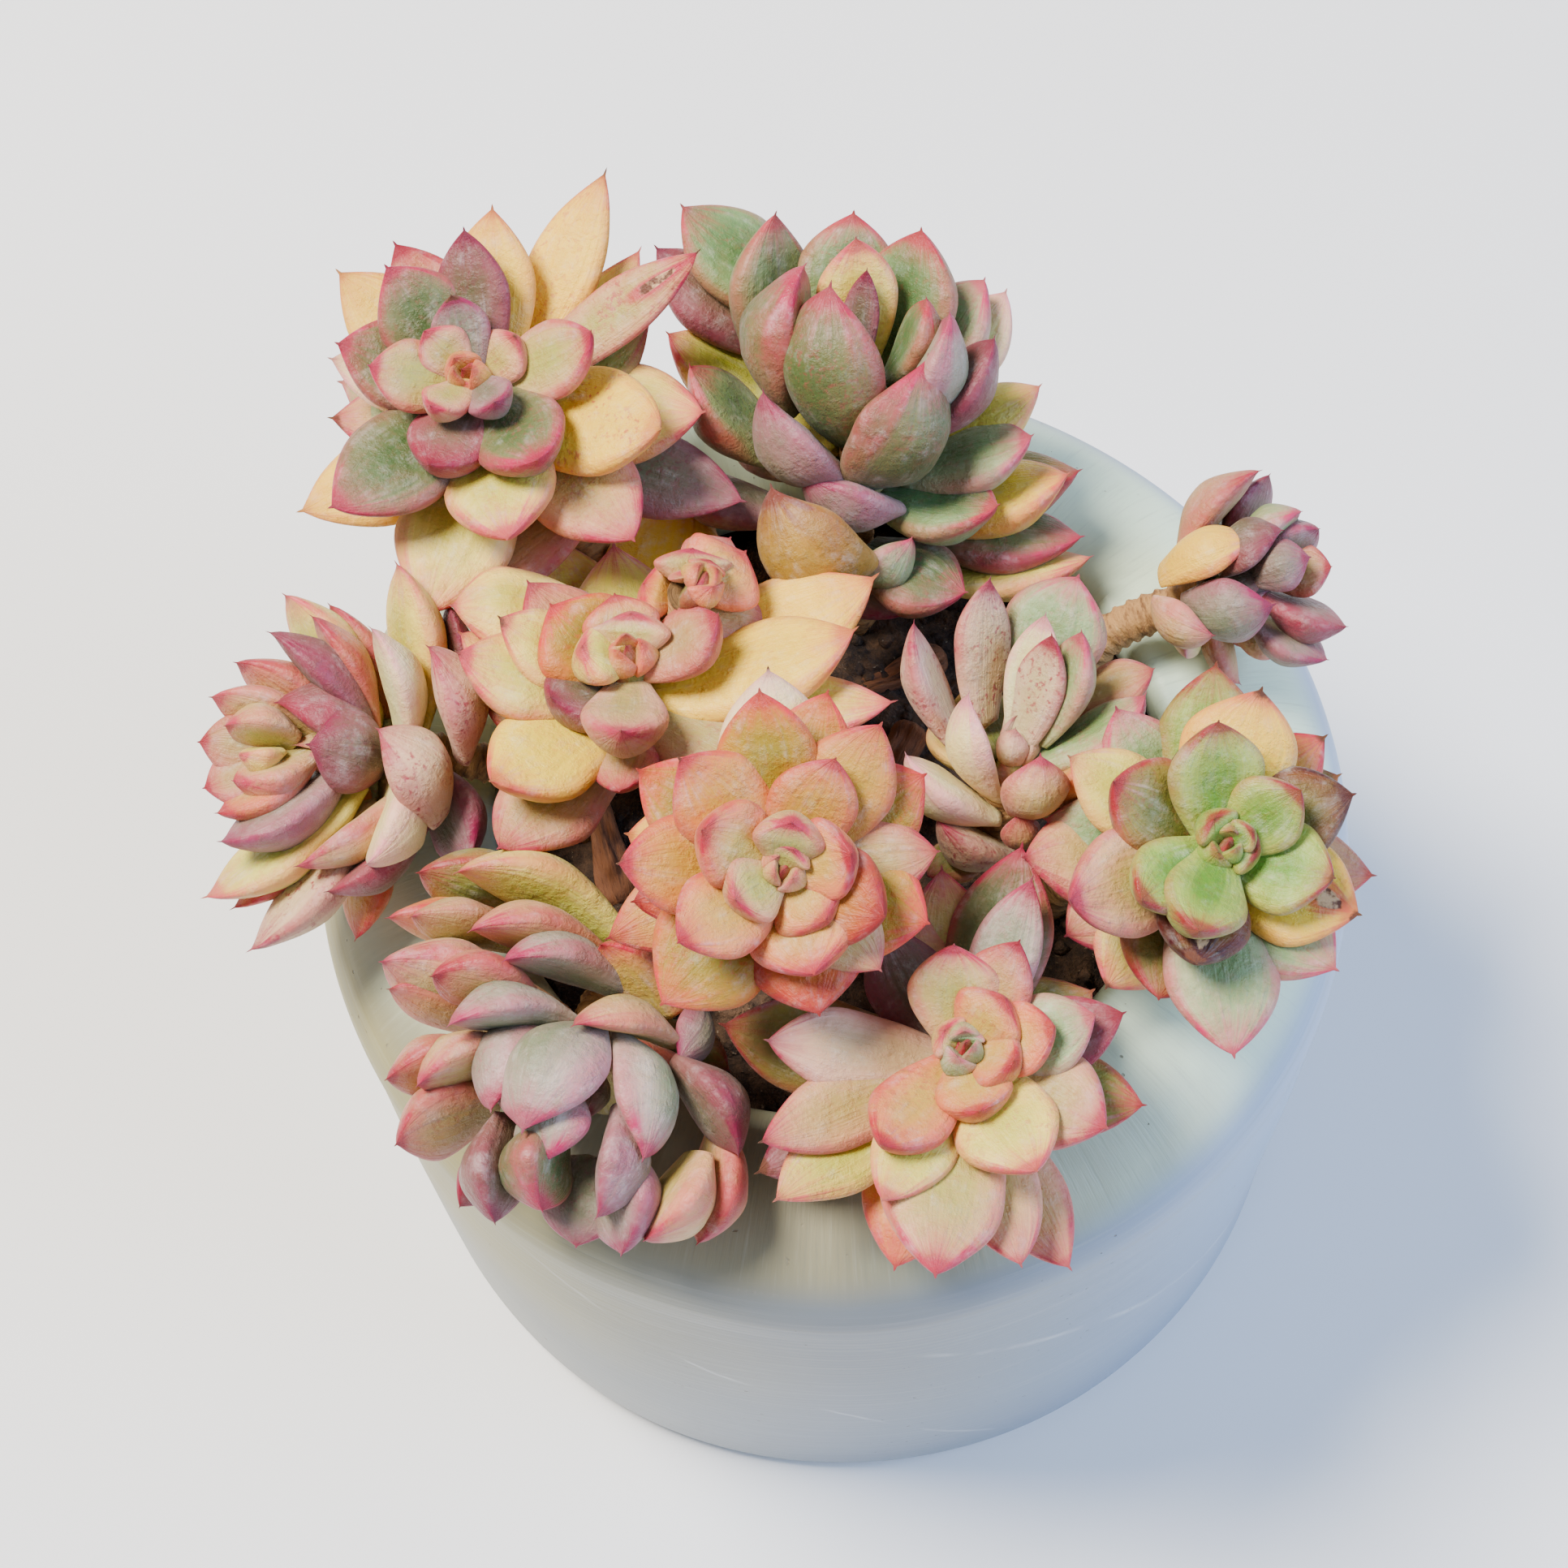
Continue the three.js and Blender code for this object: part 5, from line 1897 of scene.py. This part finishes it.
ROSETTES = [
    Rosette("centre", (-7, -30, 141), lean=25, bearing=-90, radius=22.5, depth=10,
            leaves=CENTRE_LEAVES, seed=11, root=(-5, -16), under=12),
    Rosette("rear_left", (-42, 42.5, 141), lean=16, bearing=-126, radius=31, depth=14,
            leaves=REAR_LEFT_LEAVES, strays=REAR_LEFT_STRAYS, seed=12, root=(-22, 22),
            notes={23: (0.6, 1.0, 0.7), 19: (0.8, 2.0, 1.1), 15: (0.9, 0.5, 0.5)}),
    Rosette("rear_centre", (8, 46, 137), lean=25, bearing=81, radius=32, depth=23,
            strays=REAR_CENTRE_STRAYS, seed=13, root=(6, 29), under=24),
    Rosette("right", (47, -26, 129), lean=20, bearing=-67, radius=26, depth=12,
            leaves=RIGHT_LEAVES, seed=14, root=(27, -15),
            notes={8: (0.4, 2.0, 1.1), 13: (0.3, 2.0, 0.7), 7: (0.2, 1.0, 0.7)}),
    Rosette("front_right", (13, -47, 124), lean=8, bearing=-80, radius=29, depth=12,
            leaves=FRONT_RIGHT_LEAVES, seed=15, root=(13, -29), notes={17: (0.1, 0.0, 0.8)}),
    Rosette("front_left", (-37, -53, 112), lean=72, bearing=-103, radius=28, depth=21,
            strays=FRONT_LEFT_STRAYS, seed=16, root=(-20, -22), under=24),
    Rosette("far_left", (-73, 1, 122), lean=58, bearing=-169, radius=28, depth=21,
            strays=FAR_LEFT_STRAYS, seed=17, root=(-33, 1), under=24),
    Rosette("mid_offset", (-13.5, 14, 134), lean=26, bearing=8, radius=14, depth=6,
            leaves=MID_OFFSET_LEAVES, seed=18, root=(-8, 10), under=0),
    Rosette("mid_left", (-24, 6, 132), lean=8, bearing=70, radius=30, depth=13,
            leaves=MID_LEFT_LEAVES, strays=MID_LEFT_STRAYS, seed=19, root=(-21, 3), under=5),
    Rosette("mid_right", (25, -1.5, 124), lean=34, bearing=67, radius=23, depth=14,
            strays=MID_RIGHT_STRAYS, seed=20, root=(20, -2), under=18),
    Rosette("far_right", (63, 17.5, 116), lean=62, bearing=-2, radius=19, depth=14,
            strays=FAR_RIGHT_STRAYS, seed=21, root=(33, 14), under=20),
]

CHIPS = [
    BarkChip(1, -30, -4, 100, 24, 15, 6, 4.0),
    BarkChip(2, 8, 4, 55, 14, 16, 7, 3.5),
    BarkChip(3, 11, 19, 15, 10, 14, 5, 3.0),
    BarkChip(4, -1, -36, -30, 12, 12, 5, 3.0),
]


STEM_BARK = BarkFinish(
    base=(176, 132, 80),
    dark=(104, 66, 36),
    pale=(206, 172, 120),
    grain=(900.0, 300.0, 300.0),
)

LEAF_SKINS = {
    Tier.HEART: LeafFinish(roughness=0.44, glow=0.18, point_from=0.84),
    Tier.INNER: LeafFinish(roughness=0.48, glow=0.16, point_from=0.86),
    Tier.OUTER: LeafFinish(roughness=0.52, glow=0.14, point_from=0.91),
}


def main() -> None:
    """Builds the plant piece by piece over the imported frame."""
    logging.basicConfig(level=logging.INFO, format="%(name)s: %(message)s")
    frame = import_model()
    low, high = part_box("pot")
    LOG.info("%d nodes in the frame, pot %.3f m high", len(frame["nodes"]), high[2] - low[2])
    Pot(radius=high[0] / MM, height=high[2] / MM).build(StoneFinish().make("pot_stone_finish"))
    Soil().build(SoilFinish().make("soil_finish"))
    bark = BarkFinish().make("bark_finish")
    for chip in CHIPS:
        chip.build(bark)
    stem_bark = STEM_BARK.make("stem_finish")
    finishes = {
        tier: finish.make(f"leaf_{tier.name.lower()}_finish") for tier, finish in LEAF_SKINS.items()
    }
    for rosette in ROSETTES:
        rosette.build(finishes)
        Stem(rosette).build(stem_bark)
    Studio().build()


if __name__ == "__main__":
    main()
